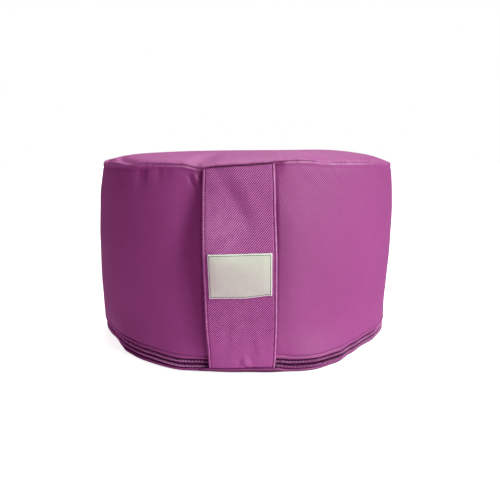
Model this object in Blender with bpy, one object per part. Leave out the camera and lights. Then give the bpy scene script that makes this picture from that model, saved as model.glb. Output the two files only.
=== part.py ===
"""A round yoga cushion: a filled drum of cotton twill with a carrying strap, a label and a zip.

The cushion stands on its base at the origin, +Z up, with its strap at the front, towards -Y.
Angles run round the cushion from the strap, positive towards +X. Lengths are in metres.
"""

import math
from collections import namedtuple

import bmesh
import bpy
from mathutils import Matrix, Vector

MM = 0.001

# Driving sizes of the cushion
BELLY_RADIUS = 165.0 * MM
BELLY_HEIGHT = 103.0 * MM
FOOT_RADIUS = 161.9 * MM
SHOULDER_RADIUS = 159.8 * MM
RIM_RADIUS = 159.5 * MM
SEAM_HEIGHT = 185.7 * MM
SEAM_DEPTH = 1.6 * MM
SEAM_EASE = 3.0 * MM
SEAM_LIP_HEIGHT = 2.0 * MM
SEAM_LIP_DRAW_IN = 0.5 * MM
CROWN_RISE = 13.7 * MM
FOOT_CURVE = 2.0
SHOULDER_CURVE = 2.3
CROWN_CURVE = 2.7

# The base panel, with the rim that stands under the zip
BASE_MIDDLE_RADIUS = 75.0 * MM
BASE_FLAT_RADIUS = 150.0 * MM
BASE_RIM_RADIUS = 160.9 * MM
BASE_RIM_HEIGHT = 3.8 * MM

# The zip and the slot that it lies in, between the wall's hem and the base's rim
ZIP_HALF_ANGLE = 118.0
ZIP_END_TAPER = 6.0
ZIP_FLOOR_RADIUS = 157.0 * MM
ZIP_LOW = 4.6 * MM
ZIP_HIGH = 13.6 * MM
ZIP_MIDDLE = 8.3 * MM
HEM_HEIGHT = 15.2 * MM
HEM_LIP = 0.7 * MM
CLOSED_DRAW_IN = 0.4 * MM
FOOT_REACH = 45.0 * MM
TAPE_THICKNESS = 1.0 * MM
COIL_THICKNESS = 2.0 * MM
COIL_WIDTH = 2.9 * MM

# A coil row's section, flat on the tape and rounded outwards: shares of its thickness and width
COIL_SECTION = ((0.0, 0.0), (0.45, 0.0), (0.85, 0.22), (1.0, 0.55), (0.85, 0.88), (0.4, 1.0), (0.0, 1.0))

# The carrying strap and its label
STRAP_WIDTH = 60.0 * MM
STRAP_THICKNESS = 2.5 * MM
STRAP_FOOT = 4.5 * MM
STRAP_END_BELOW_SEAM = 0.6 * MM
STRAP_HAND_GAP = 7.2 * MM
STRAP_GAP_CURVE = 1.4
STRAP_FLATNESS = 0.55
STRAP_CLEARANCE = 0.4 * MM
STRAP_EDGE_ROUND = 0.8 * MM
STRAP_EDGE_BACK = 0.3 * MM
STRAP_HEM_TUCK = 0.9 * MM
STRAP_HEM_STEP = 1.5 * MM
STRAP_SIDE_LEAN = -1.4 * MM
POCKET_DEPTH = 2.2 * MM
POCKET_REACH = 16.0 * MM
POCKET_HALF_ANGLE = 11.3
POCKET_SIDE = 2.6
RIM_OVER_STRAP = 1.5 * MM
LABEL_WIDTH = 55.0 * MM
LABEL_HEIGHT = 39.0 * MM
LABEL_THICKNESS = 1.0 * MM
LABEL_MIDDLE = 94.0 * MM
LABEL_TURN = 3.0

# Pieces that touch in the real thing stay this far apart
TOUCH = 0.3 * MM

BODY_STEPS = 128
TOP_ROW_SHARES = (0.9985, 0.99, 0.965, 0.935, 0.895, 0.84, 0.75, 0.62, 0.44, 0.22)
WALL_ROWS = 14
ZIP_STEP = 2.8125
STRAP_STATIONS = 30
STRAP_ACROSS = 10
LABEL_COLUMNS = 8
LABEL_ROWS = 6

# How far the wall leans over to the right at each height, because the filling has settled
Lean = namedtuple("Lean", "height shift")
LEANS = (
    Lean(0.0 * MM, -1.9 * MM),
    Lean(28.0 * MM, -2.2 * MM),
    Lean(55.0 * MM, -1.8 * MM),
    Lean(103.0 * MM, -0.6 * MM),
    Lean(145.0 * MM, 0.6 * MM),
    Lean(175.0 * MM, 1.0 * MM),
    Lean(200.0 * MM, 0.6 * MM),
)

# The rim's rounded edge, as insets from its full radius
RimCorner = namedtuple("RimCorner", "inset height")
RIM_CORNERS = (
    RimCorner(4.6 * MM, 0.5 * MM),
    RimCorner(1.0 * MM, 1.6 * MM),
    RimCorner(0.0 * MM, BASE_RIM_HEIGHT),
)

# One value of a table that runs round the cushion
RingPoint = namedtuple("RingPoint", "angle value")

# How the top seam rises and dips. The strap pulls it down at its left corner.
SEAM_LIFTS = (
    RingPoint(-150.0, 0.8 * MM),
    RingPoint(-110.0, -0.7 * MM),
    RingPoint(-85.0, 0.4 * MM),
    RingPoint(-60.0, 0.0 * MM),
    RingPoint(-27.0, -0.2 * MM),
    RingPoint(-18.8, -0.5 * MM),
    RingPoint(-12.3, -3.2 * MM),
    RingPoint(-5.8, -1.2 * MM),
    RingPoint(0.5, -0.3 * MM),
    RingPoint(6.2, 0.9 * MM),
    RingPoint(12.5, 2.6 * MM),
    RingPoint(18.3, 3.1 * MM),
    RingPoint(28.8, 1.2 * MM),
    RingPoint(45.6, 1.0 * MM),
    RingPoint(62.0, -0.2 * MM),
    RingPoint(95.0, -0.8 * MM),
    RingPoint(130.0, 0.6 * MM),
    RingPoint(170.0, -0.5 * MM),
)

# How far the foot of the cushion spreads or draws in under its filling
FOOT_SWELLS = (
    RingPoint(-150.0, 0.8 * MM),
    RingPoint(-105.0, 1.0 * MM),
    RingPoint(-75.0, 0.0 * MM),
    RingPoint(-60.0, -2.6 * MM),
    RingPoint(-45.0, 0.8 * MM),
    RingPoint(-34.0, 2.4 * MM),
    RingPoint(-20.0, 3.4 * MM),
    RingPoint(-10.0, 1.2 * MM),
    RingPoint(3.0, 0.0 * MM),
    RingPoint(11.0, 1.8 * MM),
    RingPoint(24.0, 4.8 * MM),
    RingPoint(33.0, 3.0 * MM),
    RingPoint(42.0, -2.4 * MM),
    RingPoint(51.0, -4.8 * MM),
    RingPoint(62.0, -2.4 * MM),
    RingPoint(76.0, 0.0 * MM),
    RingPoint(110.0, 1.0 * MM),
    RingPoint(150.0, -0.6 * MM),
)

# How the wall's hem rises and dips over the zip
HEM_LIFTS = (
    RingPoint(-130.0, 0.0 * MM),
    RingPoint(-95.0, -0.6 * MM),
    RingPoint(-62.0, 0.2 * MM),
    RingPoint(-42.0, 1.9 * MM),
    RingPoint(-30.0, 1.3 * MM),
    RingPoint(-14.0, 0.1 * MM),
    RingPoint(12.0, 0.8 * MM),
    RingPoint(27.0, -0.6 * MM),
    RingPoint(40.0, -1.8 * MM),
    RingPoint(56.0, -2.2 * MM),
    RingPoint(95.0, -0.4 * MM),
    RingPoint(130.0, 0.4 * MM),
)

# Soft troughs in the wall: beside the strap, below the top seam, and where the filling is loose
Dent = namedtuple("Dent", "angle height depth half_angle half_height")
WALL_DENTS = (
    Dent(-15.5, 105.0 * MM, 2.6 * MM, 4.5, 70.0 * MM),
    Dent(14.5, 110.0 * MM, 1.2 * MM, 4.0, 60.0 * MM),
    Dent(-33.6, 178.0 * MM, 1.8 * MM, 2.4, 13.0 * MM),
    Dent(-26.0, 180.0 * MM, 1.0 * MM, 2.6, 9.0 * MM),
    Dent(24.0, 181.0 * MM, 0.9 * MM, 3.0, 9.0 * MM),
    Dent(52.0, 60.0 * MM, 0.9 * MM, 12.0, 30.0 * MM),
    Dent(-58.0, 140.0 * MM, 0.9 * MM, 12.0, 28.0 * MM),
    Dent(84.0, 180.0 * MM, 1.2 * MM, 3.2, 12.0 * MM),
    Dent(104.0, 80.0 * MM, 1.3 * MM, 14.0, 36.0 * MM),
    Dent(127.0, 178.0 * MM, 1.5 * MM, 3.4, 15.0 * MM),
    Dent(152.0, 120.0 * MM, 1.2 * MM, 13.0, 34.0 * MM),
    Dent(178.0, 179.0 * MM, 1.3 * MM, 3.0, 13.0 * MM),
    Dent(-161.0, 70.0 * MM, 1.2 * MM, 12.0, 30.0 * MM),
    Dent(-136.0, 178.0 * MM, 1.4 * MM, 3.2, 14.0 * MM),
    Dent(-112.0, 110.0 * MM, 1.3 * MM, 14.0, 38.0 * MM),
    Dent(-87.0, 179.0 * MM, 1.3 * MM, 3.0, 14.0 * MM),
)

# Creases in the top panel that start at the seam and run inwards, a little askew
Crease = namedtuple("Crease", "angle depth half_angle reach skew")
TOP_CREASES = (
    Crease(-39.0, 2.2 * MM, 5.0, 24.0 * MM, -34.0),
    Crease(26.0, 1.0 * MM, 2.8, 18.0 * MM, 6.0),
    Crease(76.0, 1.5 * MM, 3.4, 30.0 * MM, 8.0),
    Crease(118.0, 1.4 * MM, 3.2, 26.0 * MM, -7.0),
    Crease(163.0, 1.6 * MM, 3.4, 32.0 * MM, 9.0),
    Crease(-148.0, 1.3 * MM, 3.0, 24.0 * MM, -8.0),
    Crease(-98.0, 1.6 * MM, 3.4, 30.0 * MM, 7.0),
)

# Places where the crown has sunk a little between its fuller parts
Hollow = namedtuple("Hollow", "angle radius depth reach")
CROWN_HOLLOWS = (
    Hollow(-118.0, 100.0 * MM, 2.2 * MM, 50.0 * MM),
    Hollow(-20.0, 80.0 * MM, 0.9 * MM, 40.0 * MM),
    Hollow(95.0, 60.0 * MM, 0.8 * MM, 36.0 * MM),
    Hollow(160.0, 90.0 * MM, 1.0 * MM, 42.0 * MM),
)

BodyRow = namedtuple("BodyRow", "part radius height closed_radius")
Material = namedtuple("Material", "name colour roughness metallic")

TWILL = Material("orchid_twill", (0.42, 0.085, 0.32, 1.0), 0.85, 0.0)
TAPE = Material("zip_tape", (0.30, 0.05, 0.23, 1.0), 0.80, 0.0)
COIL = Material("zip_coil", (0.45, 0.10, 0.36, 1.0), 0.45, 0.0)
SATIN = Material("label_satin", (0.66, 0.65, 0.61, 1.0), 0.55, 0.0)


def smooth_step(value):
    """0 below 0, 1 above 1, and an even S between them."""
    held = min(1.0, max(0.0, value))
    return held * held * (3.0 - 2.0 * held)


def angle_between(first, second):
    """The way from the second angle to the first, from -180 to 180 degrees."""
    return (first - second + 180.0) % 360.0 - 180.0


def bump(offset, half_width):
    """A soft hump that is 1 in the middle and fades out past its half width."""
    return math.exp(-((offset / half_width) ** 2))


def lean(height):
    """The wall's sideways shift at this height."""
    for low, high in zip(LEANS, LEANS[1:]):
        if height <= high.height:
            share = smooth_step((height - low.height) / (high.height - low.height))
            return low.shift + share * (high.shift - low.shift)
    return LEANS[-1].shift


def ring_value(table, angle):
    """The table's value at this angle, eased from each point to the next."""
    wrapped = angle_between(angle, 0.0)
    first = table[-1]._replace(angle=table[-1].angle - 360.0)
    last = table[0]._replace(angle=table[0].angle + 360.0)
    rows = (first, *table, last)
    for before, after in zip(rows, rows[1:]):
        if wrapped <= after.angle:
            share = smooth_step((wrapped - before.angle) / (after.angle - before.angle))
            return before.value + share * (after.value - before.value)
    return last.value


def foot_spread(angle, height):
    """How far the foot's swelling moves the surface out at this place."""
    return ring_value(FOOT_SWELLS, angle) * smooth_step(1.0 - height / FOOT_REACH)


def hem_rise(angle, height):
    """How far the hem's rise moves the surface up at this place, from the rim to above the hem."""
    over = smooth_step(1.0 - (height - HEM_HEIGHT) / FOOT_REACH)
    under = smooth_step((height - BASE_RIM_HEIGHT) / (ZIP_HIGH - BASE_RIM_HEIGHT))
    return ring_value(HEM_LIFTS, angle) * over * under


def zip_window(angle):
    """1 along the zip, and 0 where the wall meets the base in a plain seam."""
    return smooth_step((ZIP_HALF_ANGLE + ZIP_END_TAPER - abs(angle_between(angle, 0.0))) / ZIP_END_TAPER)


def strap_window(angle):
    """1 behind the strap, and 0 away from it."""
    outside = abs(angle_between(angle, 0.0)) - POCKET_HALF_ANGLE
    return smooth_step(1.0 - outside / POCKET_SIDE)


def plain_wall_radius(height):
    """The wall's radius at this height: a belly that draws in to the foot and the shoulder."""
    if height < BELLY_HEIGHT:
        share = (BELLY_HEIGHT - height) / (BELLY_HEIGHT - HEM_HEIGHT)
        return BELLY_RADIUS - (BELLY_RADIUS - FOOT_RADIUS) * share**FOOT_CURVE
    share = (height - BELLY_HEIGHT) / (SEAM_HEIGHT - BELLY_HEIGHT)
    return BELLY_RADIUS - (BELLY_RADIUS - SHOULDER_RADIUS) * share**SHOULDER_CURVE


def pocket(angle, height):
    """The shallow pocket under the top seam that takes the strap's sewn end."""
    below = SEAM_HEIGHT - height
    return POCKET_DEPTH * strap_window(angle) * smooth_step(1.0 - below / POCKET_REACH)


def crown_height(radius):
    """The top panel's height at this radius."""
    share = min(1.0, radius / RIM_RADIUS)
    return SEAM_HEIGHT + CROWN_RISE * math.sqrt(1.0 - share**CROWN_CURVE)


def body_profile():
    """The rows of the body's half section, from the middle of the base to the middle of the top."""
    rows = [
        BodyRow("base", BASE_MIDDLE_RADIUS, 0.0, BASE_MIDDLE_RADIUS),
        BodyRow("base", BASE_FLAT_RADIUS, 0.0, BASE_FLAT_RADIUS),
    ]
    for corner in RIM_CORNERS:
        radius = BASE_RIM_RADIUS - corner.inset
        rows.append(BodyRow("rim", radius, corner.height, radius))
    closed_low = BASE_RIM_RADIUS - SEAM_DEPTH
    closed_high = FOOT_RADIUS - CLOSED_DRAW_IN
    rows += [
        BodyRow("zip", ZIP_FLOOR_RADIUS, ZIP_LOW, closed_low),
        BodyRow("zip", ZIP_FLOOR_RADIUS, ZIP_HIGH, closed_high),
        BodyRow("hem", FOOT_RADIUS - HEM_LIP, ZIP_HIGH + HEM_LIP / 2.0, closed_high),
    ]
    top_of_wall = SEAM_HEIGHT - SEAM_LIP_HEIGHT
    for index in range(WALL_ROWS + 1):
        height = HEM_HEIGHT + (top_of_wall - HEM_HEIGHT) * index / WALL_ROWS
        radius = plain_wall_radius(height)
        rows.append(BodyRow("wall", radius, height, radius))
    seam_lip = SHOULDER_RADIUS - SEAM_LIP_DRAW_IN
    rows.append(BodyRow("wall", seam_lip, SEAM_HEIGHT - SEAM_LIP_HEIGHT / 3.0, seam_lip))
    seam_floor = RIM_RADIUS - SEAM_DEPTH
    rows.append(BodyRow("wall", seam_floor, SEAM_HEIGHT, seam_floor))
    for share in TOP_ROW_SHARES:
        radius = RIM_RADIUS * share
        rows.append(BodyRow("top", radius, crown_height(radius), radius))
    return rows


def wall_dents(angle, height):
    """The depth of all the wall's troughs at this place."""
    total = 0.0
    for dent in WALL_DENTS:
        across = bump(angle_between(angle, dent.angle), dent.half_angle)
        total += dent.depth * across * bump(height - dent.height, dent.half_height)
    return total


def top_creases(angle, radius):
    """The depth of all the top panel's creases at this place."""
    total = 0.0
    for crease in TOP_CREASES:
        inward = max(0.0, RIM_RADIUS - radius)
        middle = crease.angle + crease.skew * inward / crease.reach
        across = bump(angle_between(angle, middle), crease.half_angle)
        total += crease.depth * across * bump(inward, crease.reach)
    return total


def crown_hollows(angle, radius):
    """The depth of all the crown's hollows at this place."""
    here = Vector((radius, 0.0))
    total = 0.0
    for hollow in CROWN_HOLLOWS:
        turn = math.radians(angle_between(hollow.angle, angle))
        away = (here - Vector((math.cos(turn), math.sin(turn))) * hollow.radius).length
        total += hollow.depth * bump(away, hollow.reach)
    return total


def place(angle, radius, height):
    """The point at this angle, radius and height, leaning and spreading as the filling has settled."""
    turn = math.radians(angle)
    settled = lean(height) * math.sin(turn) + foot_spread(angle, height)
    moved = radius + settled * smooth_step(2.0 * radius / RIM_RADIUS - 1.0)
    return Vector((moved * math.sin(turn), -moved * math.cos(turn), height + hem_rise(angle, height)))


def body_point(row, angle):
    """Where a row of the half section passes at this angle, with all that bends it there."""
    open_share = zip_window(angle)
    radius = row.closed_radius + (row.radius - row.closed_radius) * open_share
    height = row.height
    if row.part == "rim":
        radius += RIM_OVER_STRAP * strap_window(angle) * smooth_step(height / BASE_RIM_HEIGHT)
    if row.part == "wall":
        radius -= wall_dents(angle, height) * smooth_step((SEAM_HEIGHT - height) / SEAM_EASE)
        radius -= pocket(angle, height)
        height += ring_value(SEAM_LIFTS, angle) * smooth_step(height / SEAM_HEIGHT * 2.0 - 1.0)
    if row.part == "top":
        rim_share = radius / RIM_RADIUS
        height -= top_creases(angle, radius) + crown_hollows(angle, radius)
        height += ring_value(SEAM_LIFTS, angle) * smooth_step(2.0 * rim_share - 1.0)
        radius += RIM_OVER_STRAP * strap_window(angle) * smooth_step(10.0 * rim_share - 9.0)
    return place(angle, radius, height)


def strap_support(height):
    """The radius that the strap's inner face keeps off at this height, before its hand gap."""
    if height < HEM_HEIGHT:
        share = smooth_step((height - STRAP_FOOT) / (HEM_HEIGHT - STRAP_HEM_STEP - STRAP_FOOT))
        return FOOT_RADIUS - STRAP_HEM_TUCK * (1.0 - share)
    return plain_wall_radius(height) - pocket(0.0, height)


def strap_run(height):
    """How far along the strap this height is, from 0 at its foot to 1 at the top seam."""
    return (height - STRAP_FOOT) / (SEAM_HEIGHT - STRAP_FOOT)


def strap_point(across, height, depth):
    """A point of the strap: across from its middle, above the floor, and outward from its inner face."""
    run = min(1.0, max(0.0, strap_run(height)))
    belly = math.sin(math.pi * run) ** STRAP_GAP_CURVE
    x = across + STRAP_SIDE_LEAN * run
    support = strap_support(height)
    angle = math.asin(x / support)
    support += lean(height) * math.sin(angle) + foot_spread(math.degrees(angle), height)
    drop = support - math.sqrt(support * support - x * x)
    out = support - drop + STRAP_FLATNESS * drop * smooth_step(2.0 * belly)
    return Vector((x, -(out + STRAP_CLEARANCE + STRAP_HAND_GAP * belly + depth), height))


def strap_top(across):
    """The height of the strap's sewn end, which follows the top seam."""
    angle = math.degrees(math.asin((across + STRAP_SIDE_LEAN) / SHOULDER_RADIUS))
    return SEAM_HEIGHT + ring_value(SEAM_LIFTS, angle) - STRAP_END_BELOW_SEAM


def new_object(name, mesh_builder, material):
    """A named object with one material, from a bmesh whose faces are turned outwards."""
    bmesh.ops.recalc_face_normals(mesh_builder, faces=mesh_builder.faces)
    mesh = bpy.data.meshes.new(name)
    mesh_builder.to_mesh(mesh)
    mesh_builder.free()
    mesh.shade_smooth()
    mesh.set_sharp_from_angle(angle=math.radians(50.0))
    made = bpy.data.objects.new(name, mesh)
    made.data.materials.append(material)
    bpy.context.scene.collection.objects.link(made)
    return made


def new_material(spec):
    """A Principled material with the cloth's or the plastic's plain colour."""
    material = bpy.data.materials.new(spec.name)
    material.use_nodes = True
    shader = material.node_tree.nodes["Principled BSDF"]
    shader.inputs["Base Color"].default_value = spec.colour
    shader.inputs["Roughness"].default_value = spec.roughness
    shader.inputs["Metallic"].default_value = spec.metallic
    return material


def add_loop(builder, points):
    """Adds a closed loop of new points and gives its vertices."""
    return [builder.verts.new(point) for point in points]


def skin_loops(builder, loops):
    """Joins each closed loop of vertices to the next with a band of faces."""
    for first, second in zip(loops, loops[1:]):
        count = len(first)
        for index in range(count):
            after = (index + 1) % count
            builder.faces.new((first[index], first[after], second[after], second[index]))


def make_body(material):
    """The filled drum, as rings of its half section with a point in the middle of the base and top."""
    builder = bmesh.new()
    angles = [360.0 * step / BODY_STEPS for step in range(BODY_STEPS)]
    loops = [
        add_loop(builder, [body_point(row, angle) for angle in angles]) for row in body_profile()
    ]
    skin_loops(builder, loops)
    ends = (
        (loops[0], builder.verts.new((0.0, 0.0, 0.0))),
        (loops[-1], builder.verts.new((0.0, 0.0, crown_height(0.0) - crown_hollows(0.0, 0.0)))),
    )
    for loop, middle in ends:
        for index in range(BODY_STEPS):
            builder.faces.new((loop[index], loop[(index + 1) % BODY_STEPS], middle))
    return new_object("cushion_body", builder, material)


def make_arc_band(name, section, material):
    """A band round the zip's arc, from a closed section of (radius, height) points."""
    builder = bmesh.new()
    steps = round(2.0 * ZIP_HALF_ANGLE / ZIP_STEP)
    loops = []
    for step in range(steps + 1):
        angle = -ZIP_HALF_ANGLE + 2.0 * ZIP_HALF_ANGLE * step / steps
        loops.append(add_loop(builder, [place(angle, radius, height) for radius, height in section]))
    skin_loops(builder, loops)
    builder.faces.new(loops[0])
    builder.faces.new(loops[-1])
    return new_object(name, builder, material)


def make_zip(tape_material, coil_material):
    """Two tapes on the slot's floor, and two rows of coil on them that meet in the middle."""
    tape_in = ZIP_FLOOR_RADIUS + TOUCH
    tape_out = tape_in + TAPE_THICKNESS
    coil_in = tape_out + TOUCH
    half_gap = TOUCH / 2.0
    tape_ends = {
        "lower": (ZIP_LOW + TOUCH, ZIP_MIDDLE - half_gap),
        "upper": (ZIP_HIGH - TOUCH, ZIP_MIDDLE + half_gap),
    }
    for side, (outer, inner) in tape_ends.items():
        square = ((tape_in, outer), (tape_out, outer), (tape_out, inner), (tape_in, inner))
        make_arc_band("zip_tape_" + side, square, tape_material)
        away = 1.0 if side == "upper" else -1.0
        section = [
            (coil_in + share_out * COIL_THICKNESS, inner + away * share_up * COIL_WIDTH)
            for share_out, share_up in COIL_SECTION
        ]
        make_arc_band("zip_coil_" + side, section, coil_material)


def sheet_between(name, front, back, material):
    """A closed sheet between two grids of points of the same size."""
    builder = bmesh.new()
    grids = [[[builder.verts.new(point) for point in row] for row in grid] for grid in (front, back)]
    rows = len(front)
    columns = len(front[0])
    for grid in grids:
        for row in range(rows - 1):
            for column in range(columns - 1):
                corners = ((row, column), (row, column + 1), (row + 1, column + 1), (row + 1, column))
                builder.faces.new([grid[r][c] for r, c in corners])
    border = [(0, column) for column in range(columns - 1)]
    border += [(row, columns - 1) for row in range(rows - 1)]
    border += [(rows - 1, column) for column in range(columns - 1, 0, -1)]
    border += [(row, 0) for row in range(rows - 1, 0, -1)]
    for (r1, c1), (r2, c2) in zip(border, border[1:] + border[:1]):
        builder.faces.new((grids[0][r1][c1], grids[0][r2][c2], grids[1][r2][c2], grids[1][r1][c1]))
    return new_object(name, builder, material)


def make_strap(material):
    """The strap: sewn into the top and base seams, flat across, standing off the wall for a hand."""
    front = []
    back = []
    for station in range(STRAP_STATIONS + 1):
        run = station / STRAP_STATIONS
        front_row = []
        back_row = []
        for column in range(STRAP_ACROSS + 1):
            share = 2.0 * column / STRAP_ACROSS - 1.0
            across = share * STRAP_WIDTH / 2.0
            height = STRAP_FOOT + run * (strap_top(across) - STRAP_FOOT)
            # The folded edges are rounded, so the outer columns draw in from both faces
            at_edge = 1.0 if column in (0, STRAP_ACROSS) else 0.0
            front_row.append(strap_point(across, height, STRAP_THICKNESS - at_edge * STRAP_EDGE_ROUND))
            back_row.append(strap_point(across, height, at_edge * STRAP_EDGE_BACK))
        front.append(front_row)
        back.append(back_row)
    return sheet_between("strap", front, back, material)


def make_label(material):
    """The label, stitched flat on the strap and a little askew."""
    rise = math.tan(math.radians(LABEL_TURN))
    faces = []
    for depth in (TOUCH + LABEL_THICKNESS, TOUCH):
        grid = []
        for row in range(LABEL_ROWS + 1):
            line = []
            for column in range(LABEL_COLUMNS + 1):
                across = (column / LABEL_COLUMNS - 0.5) * LABEL_WIDTH
                up = (row / LABEL_ROWS - 0.5) * LABEL_HEIGHT + across * rise
                line.append(strap_point(across, LABEL_MIDDLE + up, STRAP_THICKNESS + depth))
            grid.append(line)
        faces.append(grid)
    return sheet_between("label", faces[0], faces[1], material)


def clear_scene():
    """Removes what the startup scene holds."""
    for old in list(bpy.data.objects):
        bpy.data.objects.remove(old, do_unlink=True)


def centre_over_origin():
    """Moves every mesh sideways, so that the middle of the whole part stands over the origin."""
    corners = [
        vertex.co for part in bpy.context.scene.objects for vertex in part.data.vertices
    ]
    for axis in range(2):
        low = min(corner[axis] for corner in corners)
        high = max(corner[axis] for corner in corners)
        shift = Vector((0.0, 0.0, 0.0))
        shift[axis] = -(low + high) / 2.0
        for part in bpy.context.scene.objects:
            part.data.transform(Matrix.Translation(shift))


def main():
    clear_scene()
    twill = new_material(TWILL)
    make_body(twill)
    make_strap(twill)
    make_label(new_material(SATIN))
    make_zip(new_material(TAPE), new_material(COIL))
    centre_over_origin()


main()
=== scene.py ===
import math
import random
from collections import namedtuple

import bpy
import numpy as np
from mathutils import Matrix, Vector


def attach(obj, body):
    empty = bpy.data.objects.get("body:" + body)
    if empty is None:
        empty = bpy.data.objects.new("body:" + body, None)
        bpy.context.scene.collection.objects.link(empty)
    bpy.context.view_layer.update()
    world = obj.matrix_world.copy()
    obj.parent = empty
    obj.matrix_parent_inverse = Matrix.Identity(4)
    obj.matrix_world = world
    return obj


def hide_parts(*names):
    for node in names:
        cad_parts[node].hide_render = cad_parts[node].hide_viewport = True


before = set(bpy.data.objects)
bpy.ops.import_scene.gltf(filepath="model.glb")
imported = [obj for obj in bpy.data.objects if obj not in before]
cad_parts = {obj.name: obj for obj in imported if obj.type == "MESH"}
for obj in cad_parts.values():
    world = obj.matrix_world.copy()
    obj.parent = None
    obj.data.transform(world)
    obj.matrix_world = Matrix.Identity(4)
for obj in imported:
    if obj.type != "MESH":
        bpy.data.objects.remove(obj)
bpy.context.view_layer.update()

MM = 0.001
AS_IS = 1.0

RingPoint = namedtuple("RingPoint", "angle value")


def table(kind, units, rows):
    """Rows with named columns. Lengths are given in millimetres, and angles and shares as they are."""
    return [kind(*np.multiply(row, units)) for row in rows]


def ring_table(unit, *points):
    """Values round the cushion, each at its angle from the strap."""
    return table(RingPoint, (AS_IS, unit), points)


# Sizes of the cushion, as its solids have them. Lengths are in metres and angles in degrees,
# counted round the cushion from the strap, positive towards +X.
BELLY_RADIUS = 165.0 * MM
BELLY_HEIGHT = 103.0 * MM
FOOT_RADIUS = 161.9 * MM
SHOULDER_RADIUS = 159.8 * MM
RIM_RADIUS = 159.5 * MM
SEAM_HEIGHT = 185.7 * MM
SEAM_DEPTH = 1.6 * MM
SEAM_EASE = 3.0 * MM
CROWN_RISE = 13.7 * MM
FOOT_CURVE = 2.0
SHOULDER_CURVE = 2.3
CROWN_CURVE = 2.7

BASE_RIM_RADIUS = 160.9 * MM
BASE_RIM_HEIGHT = 3.8 * MM

ZIP_HALF_ANGLE = 118.0
ZIP_END_TAPER = 6.0
ZIP_FLOOR_RADIUS = 157.0 * MM
ZIP_LOW = 4.6 * MM
ZIP_HIGH = 13.6 * MM
ZIP_MIDDLE = 8.3 * MM
HEM_HEIGHT = 15.2 * MM
CLOSED_DRAW_IN = 0.4 * MM
FOOT_REACH = 45.0 * MM
TAPE_THICKNESS = 1.0 * MM

STRAP_WIDTH = 60.0 * MM
STRAP_THICKNESS = 2.5 * MM
STRAP_FOOT = 4.5 * MM
STRAP_HAND_GAP = 7.2 * MM
STRAP_GAP_CURVE = 1.4
STRAP_FLATNESS = 0.55
STRAP_CLEARANCE = 0.4 * MM
STRAP_HEM_TUCK = 0.9 * MM
STRAP_HEM_STEP = 1.5 * MM
STRAP_SIDE_LEAN = -1.4 * MM
POCKET_DEPTH = 2.2 * MM
POCKET_REACH = 16.0 * MM
POCKET_HALF_ANGLE = 11.3
POCKET_SIDE = 2.6
LABEL_WIDTH = 55.0 * MM
LABEL_HEIGHT = 39.0 * MM
LABEL_THICKNESS = 1.0 * MM
TOUCH = 0.3 * MM

# Where the soft cover and strap go further than their solids
RIM_OVER_STRAP = 2.9 * MM
RIM_UP_AT_STRAP = 2.0 * MM
STRAP_END_BELOW_SEAM = 1.0 * MM

# How the drum leans over, with its height
Lean = namedtuple("Lean", "height shift")
LEANS = table(Lean, (MM, MM), (
    (0, -1.9),
    (28, -2.2),
    (55, -1.8),
    (103, -0.6),
    (145, 0.6),
    (175, 1),
    (200, 0.6),
))

# How far the top seam and the hem rise and the foot swells, as in the solids
SEAM_LIFTS = ring_table(
    MM,
    (-150, 0.8), (-110, -0.7), (-85, 0.4), (-60, 0), (-27, -0.2), (-18.8, -0.5), (-12.3, -3.2),
    (-5.8, -1.2), (0.5, -0.3), (6.2, 0.9), (12.5, 2.6), (18.3, 3.1), (28.8, 1.2), (45.6, 1), (62, -0.2),
    (95, -0.8), (130, 0.6), (170, -0.5),
)
FOOT_SWELLS = ring_table(
    MM,
    (-150, 0.8), (-105, 1), (-75, 0), (-60, -2.6), (-45, 0.8), (-34, 2.4), (-20, 3.4), (-10, 1.2),
    (3, 0), (11, 1.8), (24, 4.8), (33, 3), (42, -2.4), (51, -4.8), (62, -2.4), (76, 0), (110, 1),
    (150, -0.6),
)
HEM_LIFTS = ring_table(
    MM,
    (-130, 0), (-95, -0.6), (-62, 0.2), (-42, 1.9), (-30, 1.3), (-14, 0.1), (12, 0.8), (27, -0.6),
    (40, -1.8), (56, -2.2), (95, -0.4), (130, 0.4),
)

# How far the wall is drawn in at the top seam, which the solids leave out
SEAM_DRAWS = ring_table(
    MM,
    (-150, 0), (-115, 1.5), (-90, 2.8), (-68, 1.6), (-45, 0), (45, 0), (70, 0.25), (92, 0.85),
    (115, 0.3), (150, 0),
)
DRAW_START = 150.0 * MM

# Dents of the wall, and creases and hollows of the top panel
Dent = namedtuple("Dent", "angle height depth half_angle half_height")
WALL_DENTS = table(Dent, (AS_IS, MM, MM, AS_IS, MM), (
    (-15.5, 105, 2.6, 4.5, 70),
    (9.8, 112, 3.4, 4.6, 78),
    (10.5, 108, 2.2, 0.8, 84),
    (-10.9, 112, 2.6, 0.8, 84),
    (18, 163, 1.3, 7, 15),
    (-33.6, 178, 1.8, 2.4, 13),
    (-26, 180, 1, 2.6, 9),
    (24, 181, 0.9, 3, 9),
    (52, 60, 0.9, 12, 30),
    (-58, 140, 0.9, 12, 28),
    (84, 180, 1.2, 3.2, 12),
    (104, 80, 1.3, 14, 36),
    (127, 178, 1.5, 3.4, 15),
    (152, 120, 1.2, 13, 34),
    (178, 179, 1.3, 3, 13),
    (-161, 70, 1.2, 12, 30),
    (-136, 178, 1.4, 3.2, 14),
    (-112, 110, 1.3, 14, 38),
    (-87, 179, 1.3, 3, 14),
))
Crease = namedtuple("Crease", "angle depth half_angle reach skew")
TOP_CREASES = table(Crease, (AS_IS, MM, AS_IS, MM, AS_IS), (
    (-39, 2.2, 5, 24, -34),
    (26, 1, 2.8, 18, 6),
    (76, 1.5, 3.4, 30, 8),
    (118, 1.4, 3.2, 26, -7),
    (163, 1.6, 3.4, 32, 9),
    (-148, 1.3, 3, 24, -8),
    (-98, 1.6, 3.4, 30, 7),
))
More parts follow.
